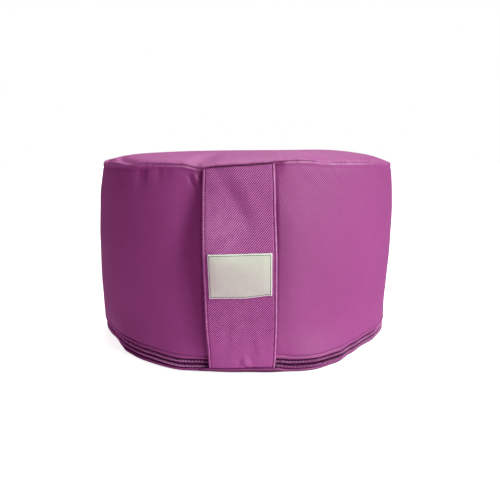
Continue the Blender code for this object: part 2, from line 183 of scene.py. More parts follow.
Hollow = namedtuple("Hollow", "angle radius depth reach")
CROWN_HOLLOWS = table(Hollow, (AS_IS, MM, MM, MM), (
    (-118, 100, 2.2, 50),
    (-20, 80, 0.9, 40),
    (95, 60, 0.8, 36),
    (160, 90, 1, 42),
    (62, 105, -2, 40),
    (-50, 115, 0.9, 40),
))

# What the solids leave out: fine folds of the wall, each a straight trough that leans from upright.
# A fold's place is an angle on the wall, and a length across from the middle line on the strap.
Fold = namedtuple("Fold", "place height lean length half_width depth")
WALL_FOLDS = table(Fold, (AS_IS, MM, AS_IS, MM, MM, MM), (
    (-13.5, 177, -32, 5, 1.5, -1.5),
    (-14.9, 173, -38, 6.5, 1.8, 1.4),
    (-17.4, 178, -40, 6, 2.2, 0.2),
    (-35.2, 176, 6, 11, 1.5, 0.7),
    (-31, 178, 0, 7, 1.8, -0.45),
    (-26.8, 179.5, -4, 7, 1.6, 0.55),
    (-23, 181, 8, 6, 1.5, 0.45),
    (-44, 178, 10, 9, 2.4, 0.4),
    (20, 170, -48, 13, 3.2, 0.6),
    (26, 172, -46, 12, 3, 0.5),
    (15.5, 150, -30, 18, 4.2, 0.4),
    (21.5, 182, -15, 4, 1.6, 0.6),
    (28.3, 181.5, -35, 4.5, 1.6, 0.7),
    (31, 177, -38, 8, 2.2, -0.7),
    (34.8, 180, -36, 6, 1.8, 0.5),
    (19, 24, 55, 10, 2.4, 0.35),
    (30, 23, -50, 9, 2.2, 0.35),
))

# Soft buckles of the strap
STRAP_FOLDS = table(Fold, (MM, MM, AS_IS, MM, MM, MM), (
    (-4, 156, -27, 24, 5.5, 1.3),
    (7, 160, -27, 24, 6, -1),
    (-28, 128, -24, 26, 22, -3.8),
    (-4, 108, 90, 60, 22, -4.2),
    (0, 152, 90, 60, 20, 1.6),
    (-19, 178, -35, 8, 3.4, 0.5),
    (-12, 40, 8, 20, 4, 0.5),
    (15, 30, -8, 16, 3.4, -0.5),
    (4, 8, -60, 4.8, 1.1, 1),
    (12, 7, 88, 22, 1, 1.3),
    (3, 13, -15, 7, 2.4, -0.8),
    (-2.5, 10, 10, 6, 1.4, 0.5),
    (9, 14, -20, 6, 1.8, 0.5),
))

# Small gathers that the top seam and the hem pull into the cloth all the way round
GATHER_SEED = 41
GATHERS = 64
GATHER_DEPTHS = (0.10 * MM, 0.42 * MM)
GATHER_HALF_ANGLES = (0.65, 1.5)
GATHER_REACHES = (5.0 * MM, 17.0 * MM)

# What the soft foot adds to the solid's: how far it bulges out, its rim tucks in, the hem lifts off
# the zip, and the hem and zip sag
FOOT_BULGES = ring_table(
    MM,
    (-95, 0), (-77, 1.4), (-66, 0.8), (-55, 0), (-50, 0.1), (-44, 1.9), (-35, 2.2), (-20, 2.3),
    (-13, 0.8), (-9, 0), (0, 0.3), (8, 1), (12.5, 1.4), (22, 3.4), (31, 3.4), (44, 2.2), (60, 2.4),
    (75, 2.3), (88, 2.6), (112, 0),
)
RIM_TUCKS = ring_table(
    MM,
    (-105, 0), (-76, 0.4), (-66, 0.8), (-58, 1.4), (-44, 0.3), (-25, 0.2), (-16, 1), (-11, 0), (11, 0),
    (17, 1.3), (24, 1.1), (33, 2.3), (40, 1.6), (50, 1.8), (72, 0.4), (105, 0),
)
HEM_OPENINGS = ring_table(
    MM,
    (-40, 0), (17, 0), (25, 0.4), (33, 1.2), (40, 2.6), (52, 3), (75, 1.2), (110, 0),
)
HEM_SAGS = ring_table(
    MM,
    (-60, 0), (-32, 0.1), (-21, 1.2), (-12, 0.4), (11, -0.4), (16, 1), (26, 1.1), (38, 0.5), (60, 0),
)

# Grooves and swells of the top panel along its seam: their height is how far in from it they lie
EDGE_GROOVES = table(Dent, (AS_IS, MM, MM, AS_IS, MM), (
    (-70, 3.4, 2.4, 18, 2.6),
    (-94, 1.8, -3, 17, 2.4),
    (-96, 11, 2.3, 24, 7),
    (88, 6, 1.8, 26, 9),
    (-20, 14, 0.7, 14, 7),
    (120, 9, 1.4, 20, 4.5),
    (-150, 10, 1.5, 18, 5),
))

# The cloth's slow unevenness over the filling
LUMP_SEED = 7
LUMPS = 14
LUMP_DEPTH = 0.16 * MM

# The photograph's camera, fitted to the cushion's outline. Its focal length is in pixels.
Camera = namedtuple("Camera", "distance height swing turn pitch focal")
VIEW = Camera(561.0 * MM, 191.0 * MM, 1.7, 0.477, 10.93, 477.5)
IMAGE_SIZE = 500.0
SENSOR = 36.0


def smooth_step(value):
    """0 below 0, 1 above 1, and an even S between them."""
    held = np.clip(value, 0.0, 1.0)
    return held * held * (3.0 - 2.0 * held)


def bump(offset, half_width):
    """A soft hump that is 1 in the middle and fades out past its half width."""
    return np.exp(-((offset / half_width) ** 2))


def angle_between(first, second):
    """The way from the second angle to the first, from -180 to 180 degrees."""
    return (first - second + 180.0) % 360.0 - 180.0


def eased_between(stations, values, wanted):
    """The values at the wanted stations, eased from each station to the next."""
    after = np.clip(np.searchsorted(stations, wanted), 1, len(stations) - 1)
    share = smooth_step((wanted - stations[after - 1]) / (stations[after] - stations[after - 1]))
    return values[after - 1] + share * (values[after] - values[after - 1])


def ring_value(ring, angle):
    """The ring table's value at these angles, eased from each point to the next."""
    angles, values = np.array(ring).T
    angles = np.concatenate(([angles[-1] - 360.0], angles, [angles[0] + 360.0]))
    values = np.concatenate(([values[-1]], values, [values[0]]))
    return eased_between(angles, values, angle_between(np.asarray(angle, float), 0.0))


def lean(height):
    """The wall's sideways shift at these heights."""
    heights, shifts = np.array(LEANS).T
    return eased_between(heights, shifts, np.asarray(height, float))


def zip_window(angle):
    """1 along the zip, and 0 where the wall meets the base in a plain seam."""
    inside = ZIP_HALF_ANGLE + ZIP_END_TAPER - np.abs(angle_between(angle, 0.0))
    return smooth_step(inside / ZIP_END_TAPER)


def strap_window(angle):
    """1 behind the strap, and 0 away from it."""
    outside = np.abs(angle_between(angle, 0.0)) - POCKET_HALF_ANGLE
    return smooth_step(1.0 - outside / POCKET_SIDE)


def plain_wall_radius(height):
    """The wall's radius at these heights: a belly that draws in to the foot and the shoulder."""
    height = np.asarray(height, float)
    low = np.clip((BELLY_HEIGHT - height) / (BELLY_HEIGHT - HEM_HEIGHT), 0.0, None)
    high = np.clip((height - BELLY_HEIGHT) / (SEAM_HEIGHT - BELLY_HEIGHT), 0.0, None)
    below = (BELLY_RADIUS - FOOT_RADIUS) * low**FOOT_CURVE
    above = (BELLY_RADIUS - SHOULDER_RADIUS) * high**SHOULDER_CURVE
    return BELLY_RADIUS - below - above


def pocket(angle, height):
    """The shallow pocket under the top seam that takes the strap's sewn end."""
    below = SEAM_HEIGHT - np.asarray(height, float)
    return POCKET_DEPTH * strap_window(angle) * smooth_step(1.0 - below / POCKET_REACH)


def crown_height(radius):
    """The top panel's height at these radii."""
    share = np.clip(radius / RIM_RADIUS, 0.0, 1.0)
    return SEAM_HEIGHT + CROWN_RISE * np.sqrt(1.0 - share**CROWN_CURVE)


def dents(rows, angle, height):
    """The depth of a table's soft dents at these places."""
    return sum(
        dent.depth
        * bump(angle_between(angle, dent.angle), dent.half_angle)
        * bump(height - dent.height, dent.half_height)
        for dent in rows
    )


def top_creases(angle, radius):
    """The depth of the top panel's creases at these places."""
    inward = np.maximum(0.0, RIM_RADIUS - radius)
    total = 0.0
    for crease in TOP_CREASES:
        middle = crease.angle + crease.skew * inward / crease.reach
        across = bump(angle_between(angle, middle), crease.half_angle)
        total = total + crease.depth * across * bump(inward, crease.reach)
    return total


def crown_hollows(angle, radius):
    """The depth of the crown's hollows at these places."""
    total = 0.0
    for hollow in CROWN_HOLLOWS:
        turn = np.radians(angle_between(hollow.angle, angle))
        away = np.hypot(radius - hollow.radius * np.cos(turn), hollow.radius * np.sin(turn))
        total = total + hollow.depth * bump(away, hollow.reach)
    return total


def foot_share(height):
    """1 at the floor, and 0 above the foot."""
    return smooth_step(1.0 - height / FOOT_REACH)


def outer_share(radius):
    """1 at the rim, and 0 in the inner half of the top and the base."""
    return smooth_step(2.0 * radius / RIM_RADIUS - 1.0)


def foot_spread(angle, height):
    """How far the foot's swelling moves the surface out at these places."""
    return ring_value(FOOT_SWELLS, angle) * foot_share(height)


def hem_rise(angle, height):
    """How far the hem's rise moves the surface up, from the rim to above the hem."""
    under = smooth_step((height - BASE_RIM_HEIGHT) / (ZIP_HIGH - BASE_RIM_HEIGHT))
    return ring_value(HEM_LIFTS, angle) * foot_share(height - HEM_HEIGHT) * under


def place_round(angle, radius, height):
    """Points at these angles, radii and heights round the drum's own axis."""
    turn = np.radians(angle)
    drawn = smooth_step((height - DRAW_START) / (SEAM_HEIGHT - DRAW_START))
    settled = lean(height) * np.sin(turn) + foot_spread(angle, height)
    settled = settled - ring_value(SEAM_DRAWS, angle) * drawn
    moved = radius + settled * outer_share(radius)
    lifted = height + hem_rise(angle, height)
    return np.stack(np.broadcast_arrays(moved * np.sin(turn), -moved * np.cos(turn), lifted), axis=-1)


def strap_support(height):
    """The radius that the strap's inner face keeps off at these heights, before its hand gap."""
    share = smooth_step((height - STRAP_FOOT) / (HEM_HEIGHT - STRAP_HEM_STEP - STRAP_FOOT))
    low = FOOT_RADIUS - STRAP_HEM_TUCK * (1.0 - share)
    high = plain_wall_radius(height) - pocket(0.0, height)
    return np.where(height < HEM_HEIGHT, low, high)


def strap_place(across, height, depth):
    """Points of the strap: across from its middle, above the floor, and outward from its inner face."""
    run = np.clip((height - STRAP_FOOT) / (SEAM_HEIGHT - STRAP_FOOT), 0.0, 1.0)
    belly = np.sin(math.pi * run) ** STRAP_GAP_CURVE
    x = across + STRAP_SIDE_LEAN * run
    support = strap_support(height)
    turn = np.arcsin(x / support)
    support = support + lean(height) * np.sin(turn) + foot_spread(np.degrees(turn), height)
    drop = support - np.sqrt(support * support - x * x)
    out = support - drop + STRAP_FLATNESS * drop * smooth_step(2.0 * belly)
    y = -(out + STRAP_CLEARANCE + STRAP_HAND_GAP * belly + depth)
    return np.stack(np.broadcast_arrays(x, y, height), axis=-1)


def strap_top(across):
    """The height of the strap's sewn end, which follows the top seam."""
    angle = np.degrees(np.arcsin((across + STRAP_SIDE_LEAN) / SHOULDER_RADIUS))
    return SEAM_HEIGHT + ring_value(SEAM_LIFTS, angle) - STRAP_END_BELOW_SEAM


# The drum's own axis stands a little off the frame's origin: it is found from the base's flat,
# whose outline the frame and this script both have
BASE_FLAT_RADIUS = 150.0 * MM
BASE_STEPS = 128
FLAT_CORNERS = [vertex.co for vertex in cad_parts["cushion_body"].data.vertices if vertex.co.z < TOUCH]
FLAT_OUTLINE = place_round(np.arange(BASE_STEPS) * 360.0 / BASE_STEPS, BASE_FLAT_RADIUS, 0.0)
AXIS = np.array(FLAT_CORNERS).max(axis=0) - FLAT_OUTLINE.max(axis=0)

BodyRow = namedtuple("BodyRow", "part radius height closed_radius")


def place_soft(angle, radius, height):
    """Points of the soft cover at these angles, radii and heights."""
    bulge = ring_value(FOOT_BULGES, angle) * foot_share(height) * outer_share(radius)
    over = foot_share(height - HEM_HEIGHT)
    sag = ring_value(HEM_SAGS, angle) * over * smooth_step(height / ZIP_LOW)
    opened = over * smooth_step((height - ZIP_MIDDLE) / (HEM_HEIGHT - ZIP_MIDDLE))
    opening = ring_value(HEM_OPENINGS, angle) * opened
    return place_round(angle, radius + bulge, height - sag + opening) + AXIS


# How the cover's sewn edges turn, as steps out and up. The hem counts from the foot's radius and the
# hem's height, the wall and the top from their own radius at the seam, and the rim from its radius
# and the floor.
Turn = namedtuple("Turn", "out up")
HEM_TURN = table(Turn, (MM, MM), (
    (-1.5, -1.1), (-0.75, -1.35), (-0.25, -1.15), (0, -0.7), (0.1, -0.1), (0.08, 0.6),
))
WALL_TURN = table(Turn, (MM, MM), (
    (0.1, -3.1), (0.3, -2.3), (0.22, -1.55), (-0.15, -0.9), (-0.8, -0.4), (-1.5, -0.15),
))
TOP_TURN = table(Turn, (MM, MM), (
    (-1, 0.1), (-0.45, 0.22), (-0.12, 0.42),
))
RIM_TURN = table(Turn, (MM, MM), (
    (-7.5, 0.1), (-4.6, 0.45), (-2.6, 0.9), (-1.2, 1.5), (-0.4, 2.3), (0, 3.1), (-0.1, 3.8),
    (-0.7, 4.35), (-1.8, 4.6),
))

# How open the top seam is: 1 is a full channel, and 0 a seam pulled flat
SEAM_SHARES = ring_table(
    AS_IS,
    (-120, 0.8), (-90, 0.1), (-62, 0.1), (-45, 0.35), (-30, 0.45), (-18, 1), (18, 1), (27, 0.6),
    (38, 0.35), (60, 0.1), (95, 0.1), (120, 0.8),
)

# How close together the cover's columns and rows are
FRONT_STEP = 0.7
BACK_STEP = 1.25
FRONT_HALF_ANGLE = 105.0
FINE_START = 9.6
FINE_END = 18.4
FINE_STEP = 0.32
WALL_STEP = 1.7 * MM
SEAM_STEP = 0.9 * MM
SEAM_ZONE = 16.0 * MM
CROWN_ROWS = 46
CROWN_END = 0.985
BASE_ROWS = 9
BASE_MARGIN = 8.0 * MM
HEM_BAND_START = 1.1 * MM
SEAM_FLOOR = 0.5 * MM
TOP_TURN_REACH = 1.2 * MM
RIM_TUCK_HEIGHT = 2.0 * MM
RIM_END = BASE_RIM_HEIGHT + 1.0 * MM


def gather_table():
    """The small gathers round the seams, drawn at random from a fixed seed."""
    draw = random.Random(GATHER_SEED)
    rows = []
    for index in range(GATHERS):
        rows.append(Dent(
            angle=360.0 * (index + draw.uniform(0.0, 0.9)) / GATHERS,
            height=0.0,
            depth=draw.uniform(*GATHER_DEPTHS) * draw.choice((1.0, 1.0, -0.5)),
            half_angle=draw.uniform(*GATHER_HALF_ANGLES),
            half_height=draw.uniform(*GATHER_REACHES),
        ))
    return rows


SEAM_GATHERS = gather_table()


def gathers(angle, away):
    """The depth of the seam's gathers at these angles and distances from the seam."""
    return dents(SEAM_GATHERS, angle, away)


def lump_table():
    """Slow waves over the filling, each with its own length and direction, from a fixed seed."""
    draw = random.Random(LUMP_SEED)
    return [
        (draw.randint(3, 13), draw.uniform(25.0, 95.0), draw.uniform(0.0, 2.0 * math.pi))
        for _ in range(LUMPS)
    ]


FILLING_LUMPS = lump_table()


def lumps(angle, height):
    """The cloth's slow unevenness at these places."""
    turn = np.radians(angle)
    total = sum(np.sin(waves * turn + upward * height + start) for waves, upward, start in FILLING_LUMPS)
    return LUMP_DEPTH * total / math.sqrt(LUMPS)


def folds(rows, side_from, height):
    """The depth of a table's straight folds. side_from gives how far the points lie beside a place."""
    total = 0.0
    for fold in rows:
        turn = math.radians(fold.lean)
        side = side_from(fold.place)
        up = height - fold.height
        along = up * math.cos(turn) + side * math.sin(turn)
        aside = side * math.cos(turn) - up * math.sin(turn)
        total = total + fold.depth * bump(aside, fold.half_width) * bump(along, fold.length)
    return total


# The hem's stitched groove, which pulls in unevenly, the wall's tuck under the top's welt, and how
# much of the gathers the hem and the crown take
HEM_STITCH_UP = 1.9 * MM
HEM_PULL = 0.6 * MM
HEM_PULL_SPREAD = 0.3 * MM
HEM_PULL_WAVES = (11.0, 4.0)
HEM_PULL_START = 50.0
HEM_GROOVE_WIDTH = 0.8 * MM
HEM_BAND = 6.0 * MM
HEM_BAND_ROWS = 11
HEM_GATHER_SHARE = 0.6
HEM_GATHER_TURN = 31.0
CROWN_GATHER_SHARE = 0.8
CROWN_GATHER_START = RIM_RADIUS / 60.0
OVER_STRAP_START = 0.9
WELT_TUCK = 0.35 * MM
WELT_TUCK_BELOW = 4.6 * MM
WELT_TUCK_WIDTH = 1.6 * MM


def arc_between(first, second):
    """The way round the belly from the second angle to the first."""
    return np.radians(angle_between(first, second)) * BELLY_RADIUS


def wall_relief(angle, height):
    """How deep the wall lies below its plain drum at these places."""
    ease = smooth_step((SEAM_HEIGHT - height) / SEAM_EASE)
    depth = dents(WALL_DENTS, angle, height) + lumps(angle, height)
    depth = depth + folds(WALL_FOLDS, lambda place: arc_between(angle, place), height)
    depth = depth + HEM_GATHER_SHARE * gathers(angle + HEM_GATHER_TURN, height - HEM_HEIGHT)
    quick, slow = HEM_PULL_WAVES
    wave = np.sin(np.radians(quick * angle)) * np.sin(np.radians(slow * angle + HEM_PULL_START))
    pull = HEM_PULL + HEM_PULL_SPREAD * wave
    depth = depth + pull * bump(height - HEM_HEIGHT - HEM_STITCH_UP, HEM_GROOVE_WIDTH)
    below = SEAM_HEIGHT - height
    tuck = WELT_TUCK * bump(below - WELT_TUCK_BELOW, WELT_TUCK_WIDTH)
    return depth * ease + gathers(angle, below) + pocket(angle, height) + tuck


def wall_point(angle, height, out=0.0):
    """Points of the wall's cloth, or a little outside it."""
    turned = out * ring_value(SEAM_SHARES, angle)
    radius = plain_wall_radius(height) + turned - wall_relief(angle, height)
    lifted = height + ring_value(SEAM_LIFTS, angle) * smooth_step(2.0 * height / SEAM_HEIGHT - 1.0)
    return place_soft(angle, radius, lifted)


def top_point(angle, radius, height):
    """Points of the top panel, from its turned edge to the middle of the crown."""
    inward = RIM_RADIUS - radius
    turned = inward * (1.0 - ring_value(SEAM_SHARES, angle)) * (inward < TOP_TURN_REACH)
    sunk = top_creases(angle, radius) + crown_hollows(angle, radius) + dents(EDGE_GROOVES, angle, inward)
    sunk = sunk + CROWN_GATHER_SHARE * gathers(angle, inward) * smooth_step(inward / CROWN_GATHER_START)
    edge = ring_value(SEAM_LIFTS, angle) * outer_share(radius)
    over = smooth_step((radius / RIM_RADIUS - OVER_STRAP_START) / (1.0 - OVER_STRAP_START))
    over = over * RIM_OVER_STRAP * strap_window(angle)
    return place_round(angle, radius + over + turned, height - sunk + edge) + AXIS


def rim_point(angle, radius, height, closed_radius):
    """Points of the base, its rim and the slot, which closes past the ends of the zip."""
    settled = closed_radius + (radius - closed_radius) * zip_window(angle)
    on_rim = height <= RIM_END
    share = strap_window(angle) * smooth_step(height / BASE_RIM_HEIGHT) * on_rim
    tuck = ring_value(RIM_TUCKS, angle) * smooth_step(height / RIM_TUCK_HEIGHT) * on_rim
    return place_soft(angle, settled + RIM_OVER_STRAP * share - tuck, height + RIM_UP_AT_STRAP * share)


def cover_rows():
    """The rows of the cover's half section, from the middle of the base to the middle of the top."""
    rows = []
    for index in range(1, BASE_ROWS):
        radius = (BASE_RIM_RADIUS - BASE_MARGIN) * index / (BASE_ROWS - 1)
        rows.append(BodyRow("rim", radius, 0.0, radius))
    for turn in RIM_TURN:
        radius = BASE_RIM_RADIUS + turn.out
        rows.append(BodyRow("rim", radius, turn.up, radius))
    closed_low = BASE_RIM_RADIUS - SEAM_DEPTH
    closed_high = FOOT_RADIUS - CLOSED_DRAW_IN
    rows.append(BodyRow("rim", ZIP_FLOOR_RADIUS, ZIP_LOW, closed_low))
    rows.append(BodyRow("rim", ZIP_FLOOR_RADIUS, ZIP_HIGH, closed_high))
    for turn in HEM_TURN:
        rows.append(BodyRow("rim", FOOT_RADIUS + turn.out, HEM_HEIGHT + turn.up, closed_high))
    wall_end = SEAM_HEIGHT - SEAM_ZONE
    band_end = HEM_HEIGHT + HEM_BAND
    heights = list(np.linspace(HEM_HEIGHT + HEM_BAND_START, band_end, HEM_BAND_ROWS, endpoint=False))
    steps = round((wall_end - band_end) / WALL_STEP)
    heights += list(np.linspace(band_end, wall_end, steps))
    steps = round(SEAM_ZONE / SEAM_STEP)
    heights += [wall_end + (SEAM_ZONE + WALL_TURN[0].up) * step / steps for step in range(1, steps)]
    rows += [BodyRow("wall", 0.0, height, 0.0) for height in heights]
    rows += [BodyRow("wall", turn.out, SEAM_HEIGHT + turn.up, 0.0) for turn in WALL_TURN]
    rows.append(BodyRow("wall", -SEAM_DEPTH - SEAM_FLOOR, SEAM_HEIGHT, 0.0))
    for turn in TOP_TURN:
        rows.append(BodyRow("top", RIM_RADIUS + turn.out, SEAM_HEIGHT + turn.up, 0.0))
    for index in range(1, CROWN_ROWS + 1):
        radius = RIM_RADIUS * (1.0 - CROWN_END * (index / CROWN_ROWS) ** 2)
        rows.append(BodyRow("top", radius, float(crown_height(radius)), 0.0))
    return rows


def cover_angles():
    """The angles of the cover's columns, closer together at the front."""
    spans = (
        (-FRONT_HALF_ANGLE, -FINE_END, FRONT_STEP),
        (-FINE_END, -FINE_START, FINE_STEP),
        (-FINE_START, FINE_START, FRONT_STEP),
        (FINE_START, FINE_END, FINE_STEP),
        (FINE_END, FRONT_HALF_ANGLE, FRONT_STEP),
        (FRONT_HALF_ANGLE, 360.0 - FRONT_HALF_ANGLE, BACK_STEP),
    )
    return np.concatenate([
        np.linspace(start, end, round((end - start) / step), endpoint=False) for start, end, step in spans
    ])


def new_object(name, points, faces, material):
    """A smooth-shaded mesh object that rides with the cushion."""
    mesh = bpy.data.meshes.new(name)
    mesh.from_pydata(points, [], faces)
    mesh.shade_smooth()
    made = bpy.data.objects.new(name, mesh)
    mesh.materials.append(material)
    bpy.context.scene.collection.objects.link(made)
    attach(made, "root")
    return made


def grid_faces(rows, columns, wraps):
    """The corner numbers of a grid's faces, row by row."""
    spans = columns if wraps else columns - 1
    row, column = np.meshgrid(np.arange(rows - 1), np.arange(spans), indexing="ij")
    after = (column + 1) % columns
    corners = (row * columns + column, row * columns + after,
               (row + 1) * columns + after, (row + 1) * columns + column)
    return np.stack(corners, axis=-1).reshape(-1, 4)


def tube_faces(rows, columns):
    """The faces of a tube of rings, with both its ends closed."""
    faces = grid_faces(rows, columns, True).tolist()
    faces.append(tuple(range(columns))[::-1])
    faces.append(tuple(range((rows - 1) * columns, rows * columns)))
    return faces


def cloth_grid(rows, columns):
    """The places of a grid on the flat cloth, across and up, from its rows' and columns' measures."""
    return np.stack(np.meshgrid(rows, columns, indexing="ij")[::-1], axis=-1)


def write_weave(mesh, *parts):
    """Stores where each face corner lies on the flat cloth, in metres."""
    layer = mesh.uv_layers.new(name="weave")
    values = np.concatenate([np.reshape(part, (-1, 2)) for part in parts])
    layer.data.foreach_set("uv", values.astype(np.float32).ravel())


# How high the cover's turned edges take painted shade, and how strongly its welts take a painted highlight
SHADE_TOP = 3.9 * MM
SHADE_FADE = 1.3 * MM
CREASE_SHADE = 0.7
CREASE_LOW = 4.2 * MM
HEM_EDGE = 1.1 * MM
# Painted highlight along the wall's welt, round the cushion
WELT_HIGHLIGHTS = ring_table(
    AS_IS,
    (-150, 0.6), (-88, 2.4), (-60, 3), (-30, 2), (38, 2), (56, 0.5), (150, 0.6),
)
WELT_BELOW = 0.9 * MM
WELT_WIDTH = 1.0 * MM
EDGE_WEAR_WIDTH = 1.8 * MM


def cover_line(row, angles):
    """The points of one of the cover's rows."""
    if row.part == "rim":
        return rim_point(angles, row.radius, row.height, row.closed_radius)
    if row.part == "wall":
        return wall_point(angles, row.height, row.radius)
    return top_point(angles, row.radius, row.height)


def cover_highlight_and_wear(row, angles):
    """How much one of the cover's rows is painted paler: the wall's welt takes a painted highlight where its
    roll would catch the light, and the top's edge is worn paler.
    """
    if row.part == "wall":
        return ring_value(WELT_HIGHLIGHTS, angles) * bump(SEAM_HEIGHT - row.height - WELT_BELOW, WELT_WIDTH)
    edge = bump(RIM_RADIUS - row.radius, EDGE_WEAR_WIDTH) if row.part == "top" else 0.0
    return np.full(len(angles), edge)


def cover_painted_shade(row, angles):
    """How much painted shade one of the cover's rows takes: where the rim turns under towards the floor, in
    the crease below the strap and in the zip's slot.
    """
    if row.part == "rim" and row.height < ZIP_LOW:
        under = smooth_step((SHADE_TOP - row.height) / SHADE_FADE)
        return np.maximum(under, CREASE_SHADE * strap_window(angles) * (row.height > CREASE_LOW))
    return zip_window(angles) * (row.part == "rim" and row.height < HEM_HEIGHT - HEM_EDGE)


def make_cover(material):
    """The filled cover, from the middle of its base up the wall and over the crown, as one closed skin."""
    angles = cover_angles()
    rows = cover_rows()
    grid = np.stack([cover_line(row, angles) for row in rows])
    count = len(angles)
    points = np.concatenate((grid.reshape(-1, 3), grid[[0, -1]].mean(axis=1)))
    pole = len(points) - 2
    last = (len(rows) - 1) * count
    fans = [((step + 1) % count, step, pole) for step in range(count)]
    fans += [(last + step, last + (step + 1) % count, pole + 1) for step in range(count)]
    faces = grid_faces(len(rows), count, True).tolist() + fans
    made = new_object("cushion_cover", points.tolist(), faces, material)

    # The wall's cloth is measured round and up from the hem, and the two panels straight across
    closed = np.append(angles, angles[0] + 360.0)
    wall_cloth = cloth_grid([row.height for row in rows], np.radians(closed) * BELLY_RADIUS)
    panel_cloth = np.concatenate((grid, grid[:, :1]), axis=1)[..., :2]
    is_wall = np.array([row.part == "wall" or row.part == "rim" and row.height > ZIP_LOW for row in rows])
    cloth = np.where(is_wall[:-1, None, None, None], corner_values(wall_cloth), corner_values(panel_cloth))
    write_weave(made.data, cloth, points[np.array(fans)][..., :2])
    # Painted light and shade stored on the points: a painted highlight on the welt, the top's worn edge, and
    # painted shade under the rim, below the strap and in the zip's slot
    for name, tone in (("paling_and_painted_light", cover_highlight_and_wear), ("painted_shade", cover_painted_shade)):
        values = np.concatenate([tone(row, angles) for row in rows])
        write_tone(made.data, name, np.append(values, (0.0, 0.0)))
    return made


def corner_values(grid):
    """A grid's values at its faces' corners, in the order of grid_faces."""
    return np.stack((grid[:-1, :-1], grid[:-1, 1:], grid[1:, 1:], grid[1:, :-1]), axis=2)


def write_tone(mesh, name, values):
    """Stores a mask on each point, from 0 for none, that the colour uses for painted highlight, painted shade
    and paler edges.
    """
    layer = mesh.attributes.new(name, "FLOAT", "POINT")
    layer.data.foreach_set("value", np.asarray(values, np.float32))


# The strap's section: its rolled edges, the topstitching's groove, the welt outside that, its tucked
# foot, and the painted highlight along its edges
STRAP_EDGE = 1.25 * MM
STITCH_IN = 2.2 * MM
GROOVE_WIDTH = 0.5 * MM
GROOVE_DEPTH = 0.85 * MM
WELT_RISE = 0.35 * MM
WELT_IN = 1.2 * MM
WELT_HALF_WIDTH = 0.8 * MM
STRAP_ROW_STEP = 1.1 * MM
FOOT_ROW_STEP = 0.5 * MM
FOOT_ZONE = 14.0 * MM
FOOT_TUCK = 0.85
FOOT_TUCK_REACH = 3.6 * MM
STRAP_COLUMN_STEP = 1.3 * MM
EDGE_COLUMN_STEP = 0.22 * MM
EDGE_ZONE = 4.4 * MM
EDGE_CORNERS = 7
BACK_SKIP = 4
STRAP_SHADE_TOP = 3.2 * MM
STRAP_EDGE_HIGHLIGHT = 2.0
EDGE_HIGHLIGHT_IN = 0.7 * MM
EDGE_HIGHLIGHT_HALF_WIDTH = 0.9 * MM

# The strap's width over its length, as a share of its own, and how far it is moved aside
WidthPoint = namedtuple("WidthPoint", "height share shift")
STRAP_WIDTHS = table(WidthPoint, (MM, AS_IS, MM), (
    (4.5, 0.98, 0.75),
    (20, 1.005, 1.2),
    (50, 1.035, 1),
    (107, 1.03, 1),
    (160, 1.02, 0.1),
    (190, 1, 0),
))

# Painted highlights: paler patches where the strap's buckles would catch the light
PaintedHighlight = namedtuple("PaintedHighlight", "across height half_width half_height share")
STRAP_HIGHLIGHTS = table(PaintedHighlight, (MM, MM, MM, MM, AS_IS), (
    (-18, 128, 22, 26, 0.75),
    (-6, 52, 24, 26, 0.35),
))


def strap_relief(across, height):
    """How deep the strap's buckles lie at these places."""
    return folds(STRAP_FOLDS, lambda place: across - place, height)


def strap_wide(across, height):
    """Places across the strap, spread to its own width and moved aside at these heights."""
    heights, shares, shifts = np.array(STRAP_WIDTHS).T
    height = np.asarray(height, float)
    return across * eased_between(heights, shares, height) + eased_between(heights, shifts, height)


def strap_rise(across):
    """How far the strap's front stands out at its welts, or sinks in at its stitched grooves."""
    inside = STRAP_WIDTH / 2.0 - np.abs(across)
    groove = GROOVE_DEPTH * bump(inside - STITCH_IN, GROOVE_WIDTH)
    return WELT_RISE * bump(inside - WELT_IN, WELT_HALF_WIDTH) - groove


def strap_surface(across, height, depth=0.0):
    """Points of the strap's front, or a little outside it, with its buckles, grooves and welts."""
    front = STRAP_THICKNESS + strap_rise(across) - strap_relief(across, height)
    return strap_place(strap_wide(across, height), height, front + depth) + AXIS


def strap_columns():
    """The places across the strap's front, close together near its edges."""
    half = STRAP_WIDTH / 2.0 - STRAP_EDGE
    zone = np.arange(0.0, EDGE_ZONE - STRAP_EDGE, EDGE_COLUMN_STEP)
    middle_half = half - zone[-1] - EDGE_COLUMN_STEP
    middle = np.linspace(-middle_half, middle_half, round(2.0 * middle_half / STRAP_COLUMN_STEP))
    return np.concatenate((zone - half, middle, (half - zone)[::-1]))


def strap_section():
    """The strap's section from edge to edge and back: places across, depths, and 1 on its front."""
    columns = strap_columns()
    back = columns[::-BACK_SKIP]
    rolls = np.linspace(0.0, math.pi, EDGE_CORNERS + 2)[1:-1]
    half_thick = STRAP_THICKNESS / 2.0
    rolled = STRAP_WIDTH / 2.0 - STRAP_EDGE + STRAP_EDGE * np.sin(rolls)
    across = np.concatenate((columns, rolled, back, -rolled))
    depth = np.concatenate((
        np.full(len(columns), STRAP_THICKNESS),
        half_thick + half_thick * np.cos(rolls),
        np.zeros(len(back)),
        half_thick - half_thick * np.cos(rolls),
    ))
    return across, depth, np.arange(len(across)) < len(columns)


